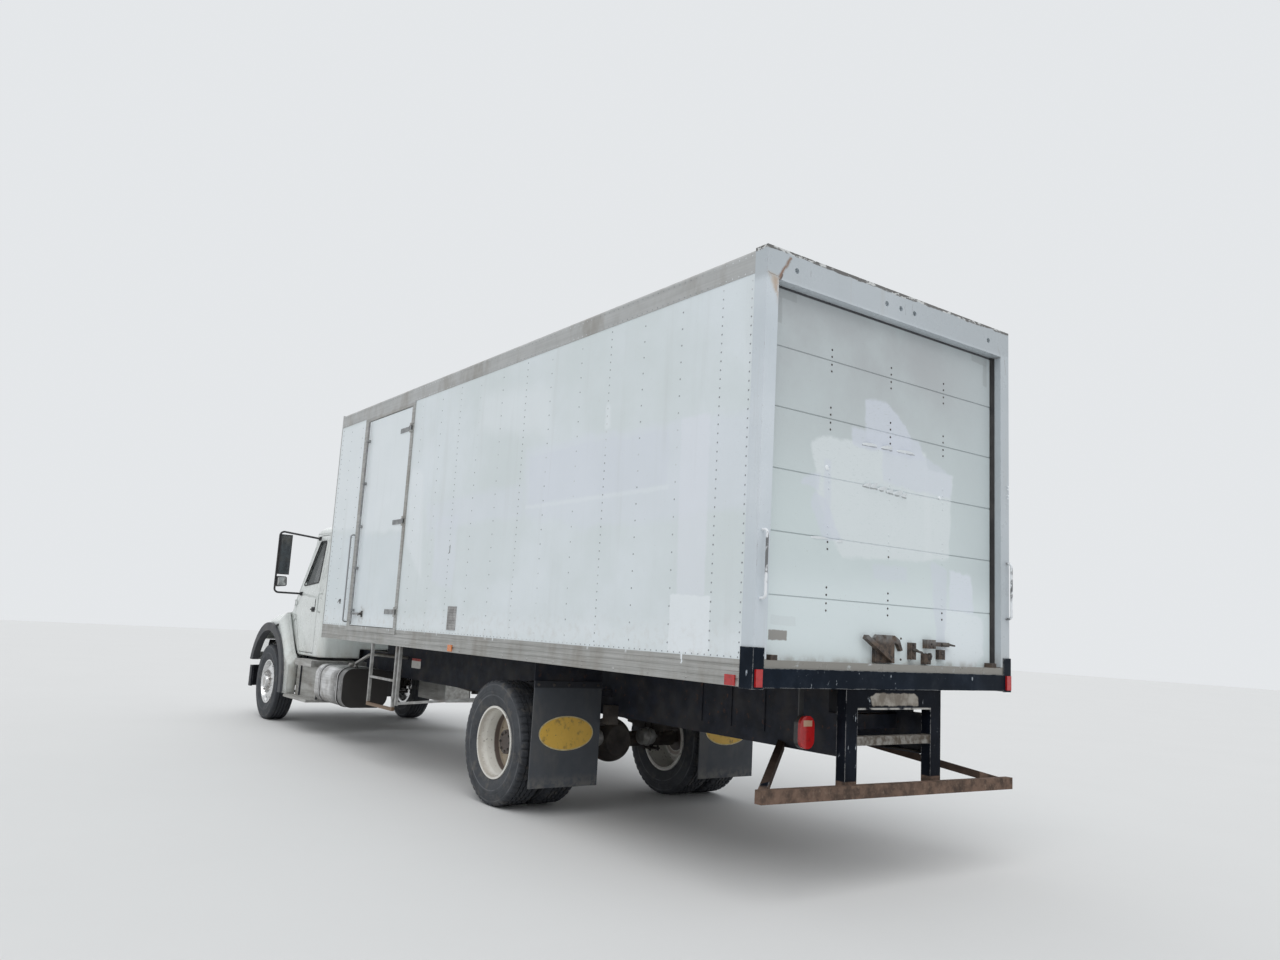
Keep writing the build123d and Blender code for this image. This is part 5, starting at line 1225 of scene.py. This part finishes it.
def cab_inside():
    """Two padded seats on moulded bases, and the dashboard with its binnacle, gauges and vents."""
    for y, name in ((500, "left"), (-500, "right")):
        cushion(f"seat_cushion_{name}", (8958, y, 1378), (1, 0, 0.05), (0, 1, 0), 236, 243, 66, (-0.52, 0.52))
        cushion(f"seat_back_{name}", (8668, y, 1762), (-0.128, 0, 1), (0, -1, 0), 342, 240, 60, (-0.5, 0, 0.5), 0.4)
        base = Shape().skin([
            [(*p, z) for p in rounded(rectangle(x0, x1, y - half, y + half), 30)]
            for x0, x1, half, z in ((8740, 9160, 215, 1118), (8740, 9160, 215, 1150), (8790, 9110, 160, 1190),
                                    (8730, 9170, 225, 1312))])
        base.pipe([(8700, y, 1330), (8660, y, 1400), (8650, y, 1460)], 26, 8)
        base.piece(f"seat_base_{name}", "black_plastic", replaces=("cab_interior",))

    dash = Shape()
    dash.prism([(9425, 1420), (9700, 1455), (9712, 1500), (9712, 1640), (9660, 1668), (9520, 1690), (9478, 1696),
                (9446, 1690), (9416, 1650), (9402, 1600), (9408, 1500)], -942, 942, 1)
    dash.prism([(9440, 1680), (9470, 1745), (9500, 1758), (9560, 1750), (9620, 1690), (9560, 1660)], 300, 700, 1)
    dash.pipe([(9428, 500, 1560), (9360, 500, 1640), (9290, 500, 1700)], [40, 36, 32], 14)
    for y in (-700, -520, 120, 860):
        dash.block(9396, 9412, y - 70, y + 70, 1570, 1630)
        for z in (1577, 1591, 1605, 1619):
            dash.block(9392, 9397, y - 64, y + 64, z, z + 5)
    dash.piece("dashboard", "cab_trim", bevel=5, replaces=("cab_interior",))
    gauges = Shape()
    for y, size in ((370, 34), (450, 52), (560, 52), (640, 34)):
        gauges.stud((9448, y, 1712), (-0.9, 0, 0.35), size, 5, 24, 0.97)
        gauges.stud((9444, y, 1714), (-0.9, 0, 0.35), size * 0.16, 8, 10, 0.8)
    gauges.piece("gauges", "bolt_bright")


# Floor, light and camera


def linked(name, data):
    holder = bpy.data.objects.new(name, data)
    bpy.context.scene.collection.objects.link(holder)
    return holder


def stage_and_light():
    size = 60.0
    mesh = bpy.data.meshes.new("floor")
    mesh.from_pydata([(-size, -size, 0), (size, -size, 0), (size, size, 0), (-size, size, 0)], [], [(0, 1, 2, 3)])
    f = Finish("floor", 0.9)
    f.start((0.6, 4), (0.70, 0.70, 0.69), (0.73, 0.73, 0.72))
    mesh.materials.append(made["floor"])
    linked("floor", mesh)

    world = bpy.data.worlds.new("studio")
    bpy.context.scene.world = world
    world.use_nodes = True
    world.node_tree.nodes.clear()
    w = Nodes(world.node_tree)
    rays = w.node("LightPath").outputs
    seen = w.most(*(rays[ray] for ray in ("Is Camera Ray", "Is Glossy Ray", "Is Transmission Ray")))
    lighting = w.node("Background", (0.93, 0.96, 1.0), 0.645).outputs[0]
    shown = w.node("Background", (0.78, 0.80, 0.82), 1.0).outputs[0]
    w.node("OutputWorld", w.node("MixShader", seen, lighting, shown).outputs[0])

    for name, strength, spread, direction in (
        ("sky_sun", 1.19, 50, (-0.45, 0.35, 0.9)),
        ("front_fill", 0.35, 70, (0.7, -0.4, 0.6)),
    ):
        sun = bpy.data.lights.new(name, "SUN")
        sun.energy = strength
        sun.angle = math.radians(spread)
        lamp = linked(name, sun)
        lamp.rotation_mode = "QUATERNION"
        lamp.rotation_quaternion = Vector(direction).to_track_quat("Z", "Y")


def camera():
    """The photograph's own place and direction, as found from the truck's edges."""
    yaw, pitch, roll = math.radians(-35.98), math.radians(8.68), math.radians(3.14)
    ahead = Vector((math.cos(pitch) * math.cos(yaw), math.cos(pitch) * math.sin(yaw), math.sin(pitch)))
    level = Vector((math.sin(yaw), -math.cos(yaw), 0))
    upward = level.cross(ahead)
    right = math.cos(roll) * level + math.sin(roll) * upward
    up = -math.sin(roll) * level + math.cos(roll) * upward
    data = bpy.data.cameras.new("photo_camera")
    data.sensor_width = 36
    data.lens = 27.37
    data.clip_end = 200
    holder = linked("photo_camera", data)
    turn = Matrix((right, up, -ahead)).transposed().to_4x4()
    holder.matrix_world = Matrix.Translation((-9.8245, 5.302, 1.540)) @ turn
    bpy.context.scene.camera = holder


for build in (tyres, side_rivets, front_rivets, roll_door_fittings, wheel_nuts, flap_signs, rear_fittings,
              side_fittings, wall_posts, running_gear, step_treads, cab_fittings, cab_side_fittings, cab_inside,
              stage_and_light, camera):
    build()
bpy.context.scene.view_settings.view_transform = "Standard"
